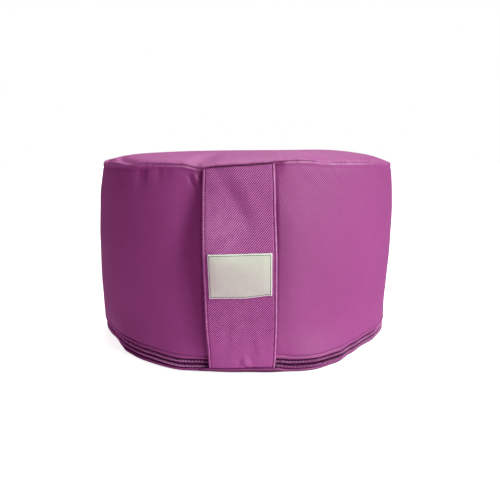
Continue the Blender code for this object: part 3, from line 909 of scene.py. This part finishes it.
def make_strap(material):
    """The strap: a doubled band of twill with rolled edges, sewn in at its top and foot."""
    across, depth, is_front = strap_section()
    count = len(across)
    length = SEAM_HEIGHT - STRAP_FOOT
    foot_runs = np.arange(0.0, FOOT_ZONE, FOOT_ROW_STEP) / length
    rows = round((length - FOOT_ZONE) / STRAP_ROW_STEP)
    runs = np.append(foot_runs, np.linspace(FOOT_ZONE / length, 1.0, rows + 1))
    lines = []
    for run in runs:
        height = STRAP_FOOT + run * (strap_top(across) - STRAP_FOOT)
        front = depth + is_front * strap_rise(across) - strap_relief(across, height)
        front = front * (1.0 - FOOT_TUCK * smooth_step(1.0 - run * length / FOOT_TUCK_REACH))
        lines.append(strap_place(strap_wide(across, height), height, front) + AXIS)
    points = np.concatenate(lines).tolist()
    made = new_object("strap_cloth", points, tube_faces(len(runs), count), material)

    # The strap is cut the other way of the cloth, so its weave is the wall's in a mirror
    way = np.append(0.0, np.cumsum(np.abs(np.diff(across))))
    way = np.append(way, way[-1] + EDGE_COLUMN_STEP)
    write_weave(made.data, corner_values(cloth_grid(runs * length, -way)), np.zeros((2 * count, 2)))
    # Painted highlights: the strap's edges and its lit buckles are painted paler
    inside = STRAP_WIDTH / 2.0 - np.abs(across)
    paling = np.tile(STRAP_EDGE_HIGHLIGHT * bump(inside - EDGE_HIGHLIGHT_IN, EDGE_HIGHLIGHT_HALF_WIDTH), len(runs))
    places = np.tile(across, len(runs))
    heights = np.repeat(STRAP_FOOT + runs * length, count)
    for highlight in STRAP_HIGHLIGHTS:
        there = bump(places - highlight.across, highlight.half_width) * bump(heights - highlight.height, highlight.half_height)
        paling = np.maximum(paling, highlight.share * there)
    write_tone(made.data, "paling_and_painted_light", paling)
    # Painted shade in the crease where the strap's foot tucks under the base's rim
    foot = CREASE_SHADE * smooth_step((STRAP_SHADE_TOP - runs * length) / SHADE_FADE)
    write_tone(made.data, "painted_shade", np.repeat(foot, count))
    return made


# The label: its turned rim, the stitched groove inside that, and how it lies on the strap, where it
# is drawn a little narrower than it is cut
LABEL_COLUMN_STEP = 0.45 * MM
LABEL_ROUND = 0.35 * MM
LABEL_STITCH_IN = 1.3 * MM
LABEL_GROOVE = 0.22 * MM
LABEL_GROOVE_WIDTH = 0.45 * MM
LABEL_ROLL = 0.7 * MM
LABEL_WAVE = 0.12 * MM
LABEL_WAVE_TURNS = (190.0, 240.0)
LABEL_WAVE_STARTS = (0.8, 0.4)
LABEL_FILL = 0.35 * MM
LABEL_FILL_REACH = 7.0 * MM
LABEL_RIM_FADE = 0.6 * MM
LABEL_MIDDLE = 94.4 * MM
LABEL_SHIFT = 1.0 * MM
LABEL_TURN = 0.9
LABEL_CURL = 2.1 * MM
LABEL_DRAWN = 0.965


def label_curl(across, up):
    """How far the label's lower right corner is drawn up."""
    return LABEL_CURL * smooth_step(across / (LABEL_WIDTH / 2.0)) * smooth_step(-up / (LABEL_HEIGHT / 2.0))


def label_lie(across, up):
    """Where the label's points lie across the strap, and how high."""
    rise = math.tan(math.radians(LABEL_TURN))
    return LABEL_DRAWN * across + LABEL_SHIFT, LABEL_MIDDLE + up + across * rise + label_curl(across, up)


def label_inside(across, up):
    """How far inside the label's edge these points lie."""
    return np.minimum(LABEL_WIDTH / 2.0 - np.abs(across), LABEL_HEIGHT / 2.0 - np.abs(up))


def label_surface(across, up, out=0.0):
    """Points of the label's front: it lies on the strap and follows its buckles."""
    side = label_inside(across, up)
    groove = LABEL_GROOVE * bump(side - LABEL_STITCH_IN, LABEL_GROOVE_WIDTH)
    rolled = LABEL_ROUND * (1.0 - smooth_step(side / LABEL_ROLL))
    wave = LABEL_WAVE
    for place, turns, start in zip((across, up), LABEL_WAVE_TURNS, LABEL_WAVE_STARTS):
        wave = wave * np.sin(place * turns + start)
    crown = LABEL_FILL * smooth_step((side - LABEL_STITCH_IN) / LABEL_FILL_REACH)
    depth = STRAP_THICKNESS + TOUCH + LABEL_THICKNESS - groove - rolled + wave + crown
    aside, height = label_lie(across, up)
    return strap_place(aside, height, depth - strap_relief(aside, height) + out) + AXIS


def make_label(material):
    """The label, a woven rectangle with its rim turned under, stitched flat on the strap."""
    columns = round(LABEL_WIDTH / LABEL_COLUMN_STEP) + 1
    rows = round(LABEL_HEIGHT / LABEL_COLUMN_STEP) + 1
    ups = np.linspace(-0.5, 0.5, rows) * LABEL_HEIGHT
    flat = cloth_grid(ups, np.linspace(-0.5, 0.5, columns) * LABEL_WIDTH)
    across, up = flat[..., 0], flat[..., 1]
    aside, height = label_lie(across, up)
    back = strap_place(aside, height, STRAP_THICKNESS + TOUCH - strap_relief(aside, height)) + AXIS
    points = np.stack((label_surface(across, up), back)).reshape(-1, 3)
    face_grid = grid_faces(rows, columns, False)
    total = rows * columns
    border = border_of(rows, columns)
    sides = [
        (first, first + total, second + total, second)
        for first, second in zip(border, border[1:] + border[:1])
    ]
    faces = face_grid.tolist() + (face_grid[:, ::-1] + total).tolist() + sides
    made = new_object("label_cloth", points.tolist(), faces, material)
    cloth = corner_values(flat).reshape(-1, 4, 2)
    write_weave(made.data, cloth, cloth[:, ::-1], np.zeros((len(sides) * 4, 2)))
    rim = smooth_step((LABEL_STITCH_IN - label_inside(across, up)) / LABEL_RIM_FADE)
    write_tone(made.data, "paling_and_painted_light", np.tile(rim.ravel(), 2))
    return made


def border_of(rows, columns):
    """The numbers of a grid's outer points, in order round it."""
    numbers = np.arange(rows * columns).reshape(rows, columns)
    ring = np.concatenate((numbers[0, :-1], numbers[:-1, -1], numbers[-1, :0:-1], numbers[:0:-1, 0]))
    return ring.tolist()


# A slanted direction that no thread or coil runs along, which sets where a tube's sides start
TUBE_HELPER = (0.31, -0.2, 0.93)


def tube_template(centres, radius, sides):
    """A closed tube through these centres, as its points and faces."""
    centres = np.array(centres)
    tangents = np.gradient(centres, axis=0)
    tangents /= np.linalg.norm(tangents, axis=1, keepdims=True)
    first = np.cross(tangents, TUBE_HELPER)
    first /= np.linalg.norm(first, axis=1, keepdims=True)
    second = np.cross(tangents, first)
    turns = np.arange(sides) * 2.0 * math.pi / sides
    rings = [
        centre + radius * (np.outer(np.cos(turns), one) + np.outer(np.sin(turns), two))
        for centre, one, two in zip(centres, first, second)
    ]
    return np.concatenate(rings), tube_faces(len(centres), sides)


# How far apart the points are that give a surface's slope
SURFACE_STEP = 0.1 * MM


def scatter(name, template, surface, spots, material):
    """One mesh of a template's copies, each laid on a surface at its own spot, along the run of the spots."""
    points, faces = template
    first, second, turn = (np.array(column, float) for column in zip(*spots))
    here = surface(first, second)
    ahead = surface(first + SURFACE_STEP * surface_scale(surface), second) - here
    beside = surface(first, second + SURFACE_STEP) - here
    outward = np.cross(ahead, beside)
    outward /= np.linalg.norm(outward, axis=1, keepdims=True)
    along = ahead / np.linalg.norm(ahead, axis=1, keepdims=True)
    up = np.cross(outward, along)
    cos, sin = np.cos(turn)[:, None], np.sin(turn)[:, None]
    axes = np.stack((along * cos + up * sin, up * cos - along * sin, outward), axis=1)
    placed = here[:, None, :] + np.einsum("pk,nkj->npj", points, axes)
    everything = []
    for index in range(len(spots)):
        offset = index * len(points)
        everything += [tuple(offset + corner for corner in face) for face in faces]
    return new_object(name, placed.reshape(-1, 3).tolist(), everything, material)


def surface_scale(surface):
    """How much of a surface's first measure makes a metre: angles are in degrees, and the rest in metres."""
    return 360.0 if surface in (wall_point, zip_surface) else 1.0


def zip_surface(angle, height):
    """Points of the outer face of the zip's tapes."""
    radius = ZIP_FLOOR_RADIUS + TOUCH + TAPE_THICKNESS
    return place_soft(angle, radius, height)


# A stitch comes up out of the cloth and goes down again: places along it, in half lengths, and out
# from the cloth, in thread radii
STITCH_SIDES = 6
STITCH_BENDS = ((-1.0, -1.6), (-0.82, 0.05), (-0.35, 0.6), (0.35, 0.6), (0.82, 0.05), (1.0, -1.6))


def stitch_template(length, thread):
    """One stitch as a short arched thread with both ends in the cloth."""
    centres = [(along * length / 2.0, 0.0, out * thread) for along, out in STITCH_BENDS]
    return tube_template(centres, thread, STITCH_SIDES)


# The stitches' spacing, how much of it each stitch fills, and the radius of their thread
STRAP_STITCH = 3.0 * MM
STRAP_STITCH_END = 3.0 * MM
STRAP_THREAD = 0.2 * MM
HEM_STITCH = 3.0 * MM
HEM_THREAD = 0.3 * MM
HEM_THREAD_START = 15.5
LABEL_STITCH = 2.6 * MM
LABEL_THREAD = 0.23 * MM
THREAD_SHARE = 0.8
LABEL_THREAD_SHARE = 0.94


def make_strap_stitches(material):
    """The two rows of topstitching along the strap's folded edges."""
    steps = round((SEAM_HEIGHT - STRAP_FOOT - 2.0 * STRAP_STITCH_END) / STRAP_STITCH)
    heights = STRAP_FOOT + STRAP_STITCH_END + (np.arange(steps) + 0.5) * STRAP_STITCH
    spots = [
        (side * (STRAP_WIDTH / 2.0 - STITCH_IN), height, math.pi / 2.0)
        for side in (-1.0, 1.0)
        for height in heights
    ]
    template = stitch_template(STRAP_STITCH * THREAD_SHARE, STRAP_THREAD)
    return scatter("strap_topstitching", template, strap_surface, spots, material)


def make_hem_stitches(material):
    """The row of topstitching that holds the wall's hem over the zip."""
    step = math.degrees(HEM_STITCH / FOOT_RADIUS)
    angles = np.arange(-ZIP_HALF_ANGLE, ZIP_HALF_ANGLE, step)
    spots = [
        (angle, HEM_HEIGHT + HEM_STITCH_UP, 0.0) for angle in angles if abs(angle) > HEM_THREAD_START
    ]
    template = stitch_template(HEM_STITCH * THREAD_SHARE, HEM_THREAD)
    return scatter("hem_topstitching", template, wall_point, spots, material)


def make_label_stitches(material):
    """The row of stitches round the label, inside its rim."""
    wide = LABEL_WIDTH - 2.0 * LABEL_STITCH_IN
    high = LABEL_HEIGHT - 2.0 * LABEL_STITCH_IN
    spots = []
    for length, other, turn in ((wide, high, 0.0), (high, wide, math.pi / 2.0)):
        count = round(length / LABEL_STITCH)
        places = ((np.arange(count) + 0.5) / count - 0.5) * length
        for side in (-0.5, 0.5):
            for value in places:
                spot = (value, side * other) if turn == 0.0 else (side * other, value)
                spots.append((*spot, turn))
    template = stitch_template(LABEL_STITCH * LABEL_THREAD_SHARE, LABEL_THREAD)
    return scatter("label_stitching", template, label_surface, spots, material)


# One tooth of the nylon coil, from its outer bend to its head, along the zip, up from its middle and out
COIL_PITCH = 1.25 * MM
TOOTH_DEEP = 0.8 * MM
TOOTH_RISE = 0.7 * MM
COIL_WIRE = 0.31 * MM
TEETH_MIDDLE = 8.8 * MM
Bend = namedtuple("Bend", "along up out")
TOOTH_BENDS = table(Bend, (MM, MM, MM), (
    (-0.25, 3.00, 0.20),
    (-0.26, 3.08, 1.00),
    (-0.20, 2.76, 1.90),
    (-0.08, 2.10, 2.20),
    (0.03, 1.42, 1.85),
    (0.11, 0.85, 1.05),
    (0.15, 0.30, 0.60),
    (0.16, -0.15, 0.40),
))


def make_coil(side, material):
    """One row of the zip's coil: its teeth, half a pitch off the other row's."""
    away = 1.0 if side == "upper" else -1.0
    centres = [(away * bend.along, away * bend.up, bend.out) for bend in TOOTH_BENDS]
    template = tube_template(centres, COIL_WIRE, STITCH_SIDES)
    step = math.degrees(COIL_PITCH / ZIP_FLOOR_RADIUS)
    start = -ZIP_HALF_ANGLE + (step / 2.0 if side == "upper" else 0.0)
    spots = [(angle, TEETH_MIDDLE, 0.0) for angle in np.arange(start, ZIP_HALF_ANGLE - step, step)]
    made = scatter("zip_teeth_" + side, template, zip_surface, spots, material)
    # Painted shade: the teeth are painted dark towards the coil's middle, where they mesh and shade each
    # other
    crest = smooth_step((np.abs(template[0][:, 1]) - TOOTH_DEEP) / TOOTH_RISE)
    write_tone(made.data, "paling_and_painted_light", np.tile(crest, len(spots)))
    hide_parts("zip_coil_" + side)
    return made


TAPE_ROWS = 7
TAPE_SHARP = 50.0


def make_tape(side, material):
    """One of the zip's tapes, between the coil's middle and the edge that is sewn under the cloth."""
    low, high = ZIP_LOW + TOUCH, ZIP_MIDDLE - TOUCH / 2.0
    if side == "upper":
        low, high = ZIP_MIDDLE + TOUCH / 2.0, ZIP_HIGH - TOUCH
    angles = np.arange(-ZIP_HALF_ANGLE, ZIP_HALF_ANGLE + FRONT_STEP, FRONT_STEP)
    heights = np.linspace(low, high, TAPE_ROWS)
    inner = ZIP_FLOOR_RADIUS + TOUCH
    loops = [(inner + TAPE_THICKNESS, height) for height in heights] + [(inner, high), (inner, low)]
    grid = np.stack([place_soft(angles, radius, height) for radius, height in loops], axis=1)
    count = len(loops)
    faces = [face[::-1] for face in tube_faces(len(angles), count)]
    made = new_object("zip_tape_cloth_" + side, grid.reshape(-1, 3).tolist(), faces, material)
    ups = [height for _, height in loops] + [low]
    cloth = corner_values(cloth_grid(np.radians(angles) * inner, ups)[..., ::-1])
    write_weave(made.data, cloth.reshape(-1, 4, 2)[:, ::-1], np.zeros((2 * count, 2)))
    made.data.set_sharp_from_angle(angle=math.radians(TAPE_SHARP))
    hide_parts("zip_tape_" + side)
    return made


class Output:
    """A node's output, which takes part in sums and products like a number."""

    def __init__(self, nodes, socket):
        self.nodes = nodes
        self.socket = socket

    def __add__(self, other):
        return self.nodes.math("ADD", self, other)

    def __sub__(self, other):
        return self.nodes.math("SUBTRACT", self, other)

    def __mul__(self, other):
        return self.nodes.math("MULTIPLY", self, other)

    def times(self, factor, more):
        """This times a factor, plus some more."""
        return self.nodes.math("MULTIPLY_ADD", self, factor, more)

    def through(self, operation):
        """A Math node's operation on this alone."""
        return self.nodes.math(operation, self)

    def wave(self):
        """An even wave from 0 to 1, once for each whole number of this."""
        return (self * (2.0 * math.pi)).through("COSINE").times(0.5, 0.5)


class Nodes:
    """Adds nodes to a tree, each joined to what it takes its values from."""

    def __init__(self, tree):
        self.tree = tree

    def set(self, node, values):
        """Sets a node's sockets, by name with _ for a space, to numbers or other nodes' outputs."""
        for key, value in values.items():
            socket = node.inputs[key if isinstance(key, int) else key.replace("_", " ")]
            if isinstance(value, Output):
                self.tree.links.new(value.socket, socket)
            else:
                socket.default_value = value

    def add(self, kind, sockets=None, output=0, **settings):
        """A new node with its settings and sockets, as one of its outputs."""
        node = self.tree.nodes.new(kind)
        for key, value in settings.items():
            setattr(node, key, value)
        self.set(node, sockets or {})
        return Output(self, node.outputs[output])

    def math(self, operation, *values):
        """A Math node on numbers or outputs."""
        return self.add("ShaderNodeMath", dict(enumerate(values)), operation=operation)

    def noise(self, where, scale, detail=2.0, roughness=0.5):
        """Even noise from 0 to 1 at this many waves a metre."""
        sockets = {"Vector": where, "Scale": scale, "Detail": detail, "Roughness": roughness}
        return self.add("ShaderNodeTexNoise", sockets)

    def ramp(self, value, low, high, to_low=0.0, to_high=1.0, kind="SMOOTHSTEP"):
        """The value's range from low to high, spread over another."""
        sockets = {"Value": value, "From_Min": low, "From_Max": high, "To_Min": to_low, "To_Max": to_high}
        return self.add("ShaderNodeMapRange", sockets, interpolation_type=kind)

    def mix(self, share, first, second):
        """A colour between two others."""
        return self.add("ShaderNodeMix", {0: share, 6: first, 7: second}, output=2, data_type="RGBA")

    def split(self, place):
        """A place's three measures."""
        node = self.add("ShaderNodeSeparateXYZ", {0: place}).socket.node
        return [Output(self, socket) for socket in node.outputs]

    def tone(self, name):
        """One of the piece's stored masks here, for painted highlight, painted shade and paler edges."""
        return self.add("ShaderNodeAttribute", output="Fac", attribute_name=name)

    def weave_place(self):
        """The place on the flat cloth, in metres, after its two measures."""
        place = self.add("ShaderNodeUVMap", uv_map="weave")
        across, up, _ = self.split(place)
        return across, up, place

    def object_place(self):
        """The place in the cushion's own frame, in metres."""
        return self.add("ShaderNodeTexCoord", output="Object")


class Finish(Nodes):
    """A new material, with the nodes that lead to its shader."""

    def __init__(self, name, **surface):
        self.material = bpy.data.materials.new(name)
        self.material.use_nodes = True
        super().__init__(self.material.node_tree)
        self.shader = self.tree.nodes["Principled BSDF"]
        self.set(self.shader, surface)

    def done(self, colour, height, strength, distance):
        """The finished material, with its colour and a relief of this height."""
        relief = self.add("ShaderNodeBump", {"Height": height, "Strength": strength, "Distance": distance})
        self.set(self.shader, {"Base_Color": colour, "Normal": relief})
        return self.material


# The twill's wales, and how they show: the foot and one side are worn smooth, and the other side's top
# is crisp. Places are heights above the floor and lengths to the right.
Twill = namedtuple("Twill", "pitch slant ridge groove contrast relief crisp")
WALL_TWILL = Twill(1.56 * MM, 46.0, (0.66, 0.125, 0.475, 1.0), (0.17, 0.004, 0.105, 1.0), 0.62, 0.85, 1.0)
# The strap's twill is the wall's cloth with stronger contrast, painted about 15% paler as a painted highlight
# for the light the strap catches
STRAP_TWILL = Twill(1.47 * MM, 47.0, (0.92, 0.185, 0.675, 1.0), (0.045, 0.002, 0.03, 1.0), 1.7, 1.5, 0.0)
# The paler colour for painted highlights and for the top's worn edge
TWILL_HIGHLIGHT_AND_WORN = (0.72, 0.26, 0.56, 1.0)
TWILL_FLOAT = 2.2 * MM
# The colour of the painted shade laid on the turned-under rim, the crease below the strap and the zip's slot
PAINTED_SHADE_COLOUR = (0.07, 0.002, 0.045, 1.0)
TWILL_DISTANCE = 0.22 * MM
TWILL_MIDDLE = 0.43
FLOAT_STEP = 0.37
FLOAT_START = 0.55
FLOAT_END_DEPTH = 0.55

# Even noise in the twill: its waves a metre, and how much it moves the wales or shades the dye
WOBBLE_WAVES, WOBBLE_SHARE = 90.0, 0.55
FUZZ_WAVES, FUZZ_SHARE, FUZZ_SHADE, FUZZ_RELIEF = 1500.0, 0.16, 0.24, 0.35
SLOW_WAVES, SLOW_SHADE = 14.0, 0.16
PATCH_WAVES, PATCH_SHADE, PATCH_RELIEF = 130.0, 0.12, 0.8

# Where the twill's pattern is worn smooth or stays crisp
SMOOTH_LOW = 14.0 * MM
SMOOTH_HIGH = 60.0 * MM
SMOOTH_SHARE = 0.25
WORN_SIDE = -60.0 * MM
WORN_SIDE_END = -32.0 * MM
WORN_SHARE = 0.35
CRISP_LOW = 125.0 * MM
CRISP_HIGH = 170.0 * MM
CRISP_END = 182.0 * MM
CRISP_FADE = 3.0 * MM
CRISP_SIDE_END = 40.0 * MM


def twill_material(name, look):
    """Heavy cotton twill: slanted wales of short floats, with fine fuzz and uneven dye, and the painted
    highlights and painted shade that the stored masks lay on it.
    """
    nodes = Finish(name, Roughness=0.58, Sheen_Weight=0.02, Sheen_Roughness=0.5, Specular_IOR_Level=0.55)
    across, up, place = nodes.weave_place()
    wobble = nodes.noise(place, WOBBLE_WAVES)
    fine = nodes.noise(place, FUZZ_WAVES)
    over = math.sin(math.radians(look.slant))
    rise = math.cos(math.radians(look.slant))
    count = across * (over / look.pitch) + up * (rise / look.pitch)
    count = count + wobble * WOBBLE_SHARE + fine * FUZZ_SHARE
    along = up * (over / TWILL_FLOAT) - across * (rise / TWILL_FLOAT)
    along = count.through("FLOOR").times(FLOAT_STEP, along)
    float_way = along.through("FRACT").times(2.0, -1.0).through("ABSOLUTE")
    cord = count.wave() * nodes.ramp(float_way, FLOAT_START, 1.0, 1.0, FLOAT_END_DEPTH)

    slow = nodes.noise(nodes.object_place(), SLOW_WAVES, 3.0)
    patchy = nodes.noise(nodes.object_place(), PATCH_WAVES, 3.0, 0.6)
    shade = slow.times(SLOW_SHADE, patchy.times(PATCH_SHADE, -(SLOW_SHADE + PATCH_SHADE) / 2.0))
    shade = shade + fine.times(FUZZ_SHADE, -FUZZ_SHADE / 2.0)
    right, _, height = nodes.split(nodes.object_place())
    shown = nodes.ramp(height, SMOOTH_LOW, SMOOTH_HIGH, SMOOTH_SHARE, 1.0)
    shown = shown * nodes.ramp(right, WORN_SIDE, WORN_SIDE_END, WORN_SHARE, 1.0)
    crisp = nodes.ramp(height, CRISP_LOW, CRISP_HIGH, 0.0, look.crisp)
    crisp = crisp * nodes.ramp(height, CRISP_END, CRISP_END + CRISP_FADE, 1.0, 0.0)
    crisp = crisp * nodes.ramp(right, 0.0, CRISP_SIDE_END)
    cords = cord.times(look.contrast, -TWILL_MIDDLE * look.contrast) * (shown + crisp)
    colour = nodes.mix(cords + 0.5 + shade, look.groove, look.ridge)
    # Painted light: paler where a mask holds a painted highlight or the top's worn edge, and the painted
    # shade colour where the other mask holds it
    paling = nodes.tone("paling_and_painted_light") * nodes.ramp(patchy, 0.3, 0.7, 0.15, 0.5)
    colour = nodes.mix(nodes.tone("painted_shade"), nodes.mix(paling, colour, TWILL_HIGHLIGHT_AND_WORN), PAINTED_SHADE_COLOUR)
    relief = fine.times(FUZZ_RELIEF, cord) * shown + patchy * PATCH_RELIEF
    return nodes.done(colour, relief, look.relief, TWILL_DISTANCE)


# The zip's tape: its colours, its dyed cloth painted darker as painted shade for the slot, the length of a
# rib, and how many folds of the herringbone make a metre
TAPE_DARK_PAINTED_SHADE = (0.08, 0.003, 0.05, 1.0)
TAPE_LIGHT_PAINTED_SHADE = (0.17, 0.014, 0.11, 1.0)
TAPE_RIB = 0.55 * MM
TAPE_FOLDS = 450.0
TAPE_FOLD_SLANT = 3.4


def tape_material(name):
    """Woven zip tape: a fine herringbone of slanted ribs, painted dark for the shade in the zip's slot."""
    nodes = Finish(name, Roughness=0.7, Sheen_Weight=0.2, Specular_IOR_Level=0.3)
    across, up, place = nodes.weave_place()
    fold = ((up * TAPE_FOLDS).through("FRACT") - 0.5).through("ABSOLUTE")
    rib = (across * (1.0 / TAPE_RIB) + fold * TAPE_FOLD_SLANT).wave()
    share = nodes.noise(place, 2600.0).times(0.5, rib.times(0.7, -0.15))
    return nodes.done(nodes.mix(share, TAPE_DARK_PAINTED_SHADE, TAPE_LIGHT_PAINTED_SHADE), share, 0.5, 0.15 * MM)


# The coil's colours: painted shade between the teeth, where they mesh, and from dark to light on them
COIL_PAINTED_SHADE = (0.10, 0.004, 0.06, 1.0)
COIL_DARK = (0.60, 0.11, 0.45, 1.0)
COIL_LIGHT = (0.92, 0.36, 0.76, 1.0)


def coil_material(name):
    """Dyed nylon wire, smooth and a little glossy, with painted shade between the teeth."""
    nodes = Finish(name, Specular_IOR_Level=0.35)
    streaks = nodes.noise(nodes.object_place(), 900.0)
    shown = nodes.mix(nodes.ramp(streaks, 0.3, 0.7), COIL_DARK, COIL_LIGHT)
    nodes.set(nodes.shader, {"Roughness": nodes.ramp(streaks, 0.3, 0.7, 0.28, 0.42)})
    return nodes.done(nodes.mix(nodes.tone("paling_and_painted_light"), COIL_PAINTED_SHADE, shown), streaks, 0.2, 0.05 * MM)


# Each thread's dark and light colour. The hem's thread is painted near black, as painted shade for the shadow
# in its groove.
STRAP_THREAD_COLOURS = ((0.30, 0.035, 0.21, 1.0), (0.52, 0.10, 0.38, 1.0))
HEM_THREAD_PAINTED_SHADE_COLOURS = ((0.10, 0.004, 0.065, 1.0), (0.26, 0.03, 0.18, 1.0))
LABEL_THREAD_COLOURS = ((0.05, 0.05, 0.055, 1.0), (0.15, 0.15, 0.16, 1.0))


def thread_material(name, dark, light):
    """Sewing thread, with its ply as fine streaks."""
    nodes = Finish(name, Roughness=0.6, Sheen_Weight=0.25, Specular_IOR_Level=0.4)
    ply = nodes.noise(nodes.object_place(), 2200.0)
    return nodes.done(nodes.mix(nodes.ramp(ply, 0.35, 0.65), dark, light), ply, 0.4, 0.08 * MM)


# The label's colours, and how far apart its threads are
LABEL_LIGHT = (0.84, 0.825, 0.73, 1.0)
LABEL_SHADE = (0.66, 0.65, 0.56, 1.0)
LABEL_RIM = (0.97, 0.96, 0.92, 1.0)
LABEL_THREADS = 0.42 * MM
LABEL_COLUMN_THREADS = 1.6 * LABEL_THREADS


def label_material(name):
    """Woven satin label, bare, with fine level ribs and a paler rim."""
    nodes = Finish(name, Roughness=0.55, Sheen_Weight=0.2, Specular_IOR_Level=0.35)
    across, up, place = nodes.weave_place()
    rows = (up * (2.0 * math.pi / LABEL_THREADS)).through("COSINE")
    columns = (across * (2.0 * math.pi / LABEL_COLUMN_THREADS)).through("COSINE")
    weave = (rows * columns).times(0.25, 0.5)
    slow = nodes.noise(place, 160.0, 3.0)
    share = nodes.noise(place, 2400.0).times(0.3, slow.times(0.6, weave * 0.5) - 0.1)
    woven = nodes.mix(share, LABEL_SHADE, LABEL_LIGHT)
    return nodes.done(nodes.mix(nodes.tone("paling_and_painted_light"), woven, LABEL_RIM), weave + slow * 1.5, 0.35, 0.1 * MM)


def make_cushion():
    """All the cushion's pieces, each with its finish."""
    cover = make_cover(twill_material("wall_twill", WALL_TWILL))
    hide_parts("cushion_body")

    strap = make_strap(twill_material("strap_twill", STRAP_TWILL))
    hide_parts("strap")
    thread = thread_material("sewing_thread", *STRAP_THREAD_COLOURS)
    strap_thread = make_strap_stitches(thread)
    # The hem's stitches are painted near black, standing in for the shadow in their groove
    dark_thread = thread_material("hem_thread_painted_shade", *HEM_THREAD_PAINTED_SHADE_COLOURS)
    hem_thread_painted_shade = make_hem_stitches(dark_thread)

    label = make_label(label_material("label_satin"))
    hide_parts("label")
    grey = thread_material("label_thread", *LABEL_THREAD_COLOURS)
    label_thread = make_label_stitches(grey)

    tape = tape_material("zip_tape")
    coil = coil_material("zip_coil")
    for side in ("lower", "upper"):
        make_tape(side, tape)
        make_coil(side, coil)


# The floor and the light round the cushion
FLOOR_RADIUS = 12.0
FLOOR_DROP = 0.1 * MM
FLOOR_COLOUR = (0.86, 0.855, 0.85, 1.0)
FLOOR_GRAIN = 0.97
FLOOR_GLOW = 1.0


def make_floor():
    """A pale floor with a faint grain. It takes the cushion's shadow but throws no light back."""
    bpy.ops.mesh.primitive_circle_add(
        vertices=96, radius=FLOOR_RADIUS, fill_type="NGON", location=(0.0, 0.0, -FLOOR_DROP)
    )
    floor = bpy.context.object
    floor.name = "floor"
    nodes = Finish("floor", Roughness=0.9, Specular_IOR_Level=0.1)
    paler = (*(FLOOR_GRAIN * value for value in FLOOR_COLOUR[:3]), 1.0)
    nodes.set(nodes.shader, {
        "Base_Color": nodes.mix(nodes.noise(nodes.object_place(), 40.0), paler, FLOOR_COLOUR),
        "Emission_Color": FLOOR_COLOUR,
        "Emission_Strength": FLOOR_GLOW,
    })
    floor.data.materials.append(nodes.material)
    floor.visible_diffuse = False
    floor.visible_glossy = False
    floor.visible_shadow = False


Lamp = namedtuple("Lamp", "name azimuth elevation strength softness tint")
LAMPS = (
    Lamp("key", 60.0, 35.0, 2.3, 24.0, (1.0, 1.26, 1.04)),
    Lamp("low", 44.0, 4.0, 0.70, 24.0, (1.0, 1.32, 1.06)),
    Lamp("back", 180.0, 60.0, 2.18, 30.0, (1.0, 0.82, 0.93)),
    Lamp("fill", -50.0, 35.0, 0.10, 24.0, (1.0, 0.9, 1.0)),
)
SKY = 0.02
GROUND = 0.60
AROUND_TINT = (1.0, 0.54, 0.90, 1.0)
BACKDROP = 1.0
BACKDROP_TINT = (1.0, 1.0, 1.0, 1.0)
HORIZON = 0.3


def make_lamps():
    """Soft suns, each from its azimuth round the cushion's front and its height above the floor."""
    for lamp in LAMPS:
        data = bpy.data.lights.new(lamp.name, "SUN")
        data.energy = lamp.strength
        data.color = lamp.tint
        data.angle = math.radians(lamp.softness)
        made = bpy.data.objects.new(lamp.name, data)
        turn, height = math.radians(lamp.azimuth), math.radians(lamp.elevation)
        level = math.cos(height)
        towards = Vector((math.sin(turn) * level, -math.cos(turn) * level, math.sin(height)))
        made.rotation_euler = towards.to_track_quat("Z", "Y").to_euler()
        bpy.context.scene.collection.objects.link(made)


def make_world():
    """A backdrop that is white to the camera, and lights the cushion more from below than from above."""
    world = bpy.data.worlds.new("studio")
    bpy.context.scene.world = world
    world.use_nodes = True
    nodes = Nodes(world.node_tree)
    up = nodes.split(nodes.add("ShaderNodeTexCoord", output="Generated"))[2]
    glow = nodes.ramp(up, -HORIZON, HORIZON, GROUND, SKY, kind="LINEAR")
    seen = nodes.add("ShaderNodeLightPath", output="Is Camera Ray")
    nodes.set(nodes.tree.nodes["Background"], {
        "Strength": nodes.add("ShaderNodeMix", {0: seen, 2: glow, 3: BACKDROP}),
        "Color": nodes.mix(seen, AROUND_TINT, BACKDROP_TINT),
    })


def make_camera():
    """The camera at the photograph's place and angle."""
    data = bpy.data.cameras.new("camera")
    data.sensor_width = SENSOR
    data.lens = VIEW.focal * SENSOR / IMAGE_SIZE
    camera = bpy.data.objects.new("camera", data)
    swing = math.radians(VIEW.swing)
    camera.location = (
        AXIS[0] + VIEW.distance * math.sin(swing),
        AXIS[1] - VIEW.distance * math.cos(swing),
        VIEW.height,
    )
    camera.rotation_euler = (math.radians(90.0 - VIEW.pitch), 0.0, math.radians(VIEW.swing - VIEW.turn))
    bpy.context.scene.collection.objects.link(camera)
    bpy.context.scene.camera = camera


make_camera()
make_world()
make_lamps()
make_floor()
make_cushion()
bpy.context.scene.view_settings.view_transform = "Standard"
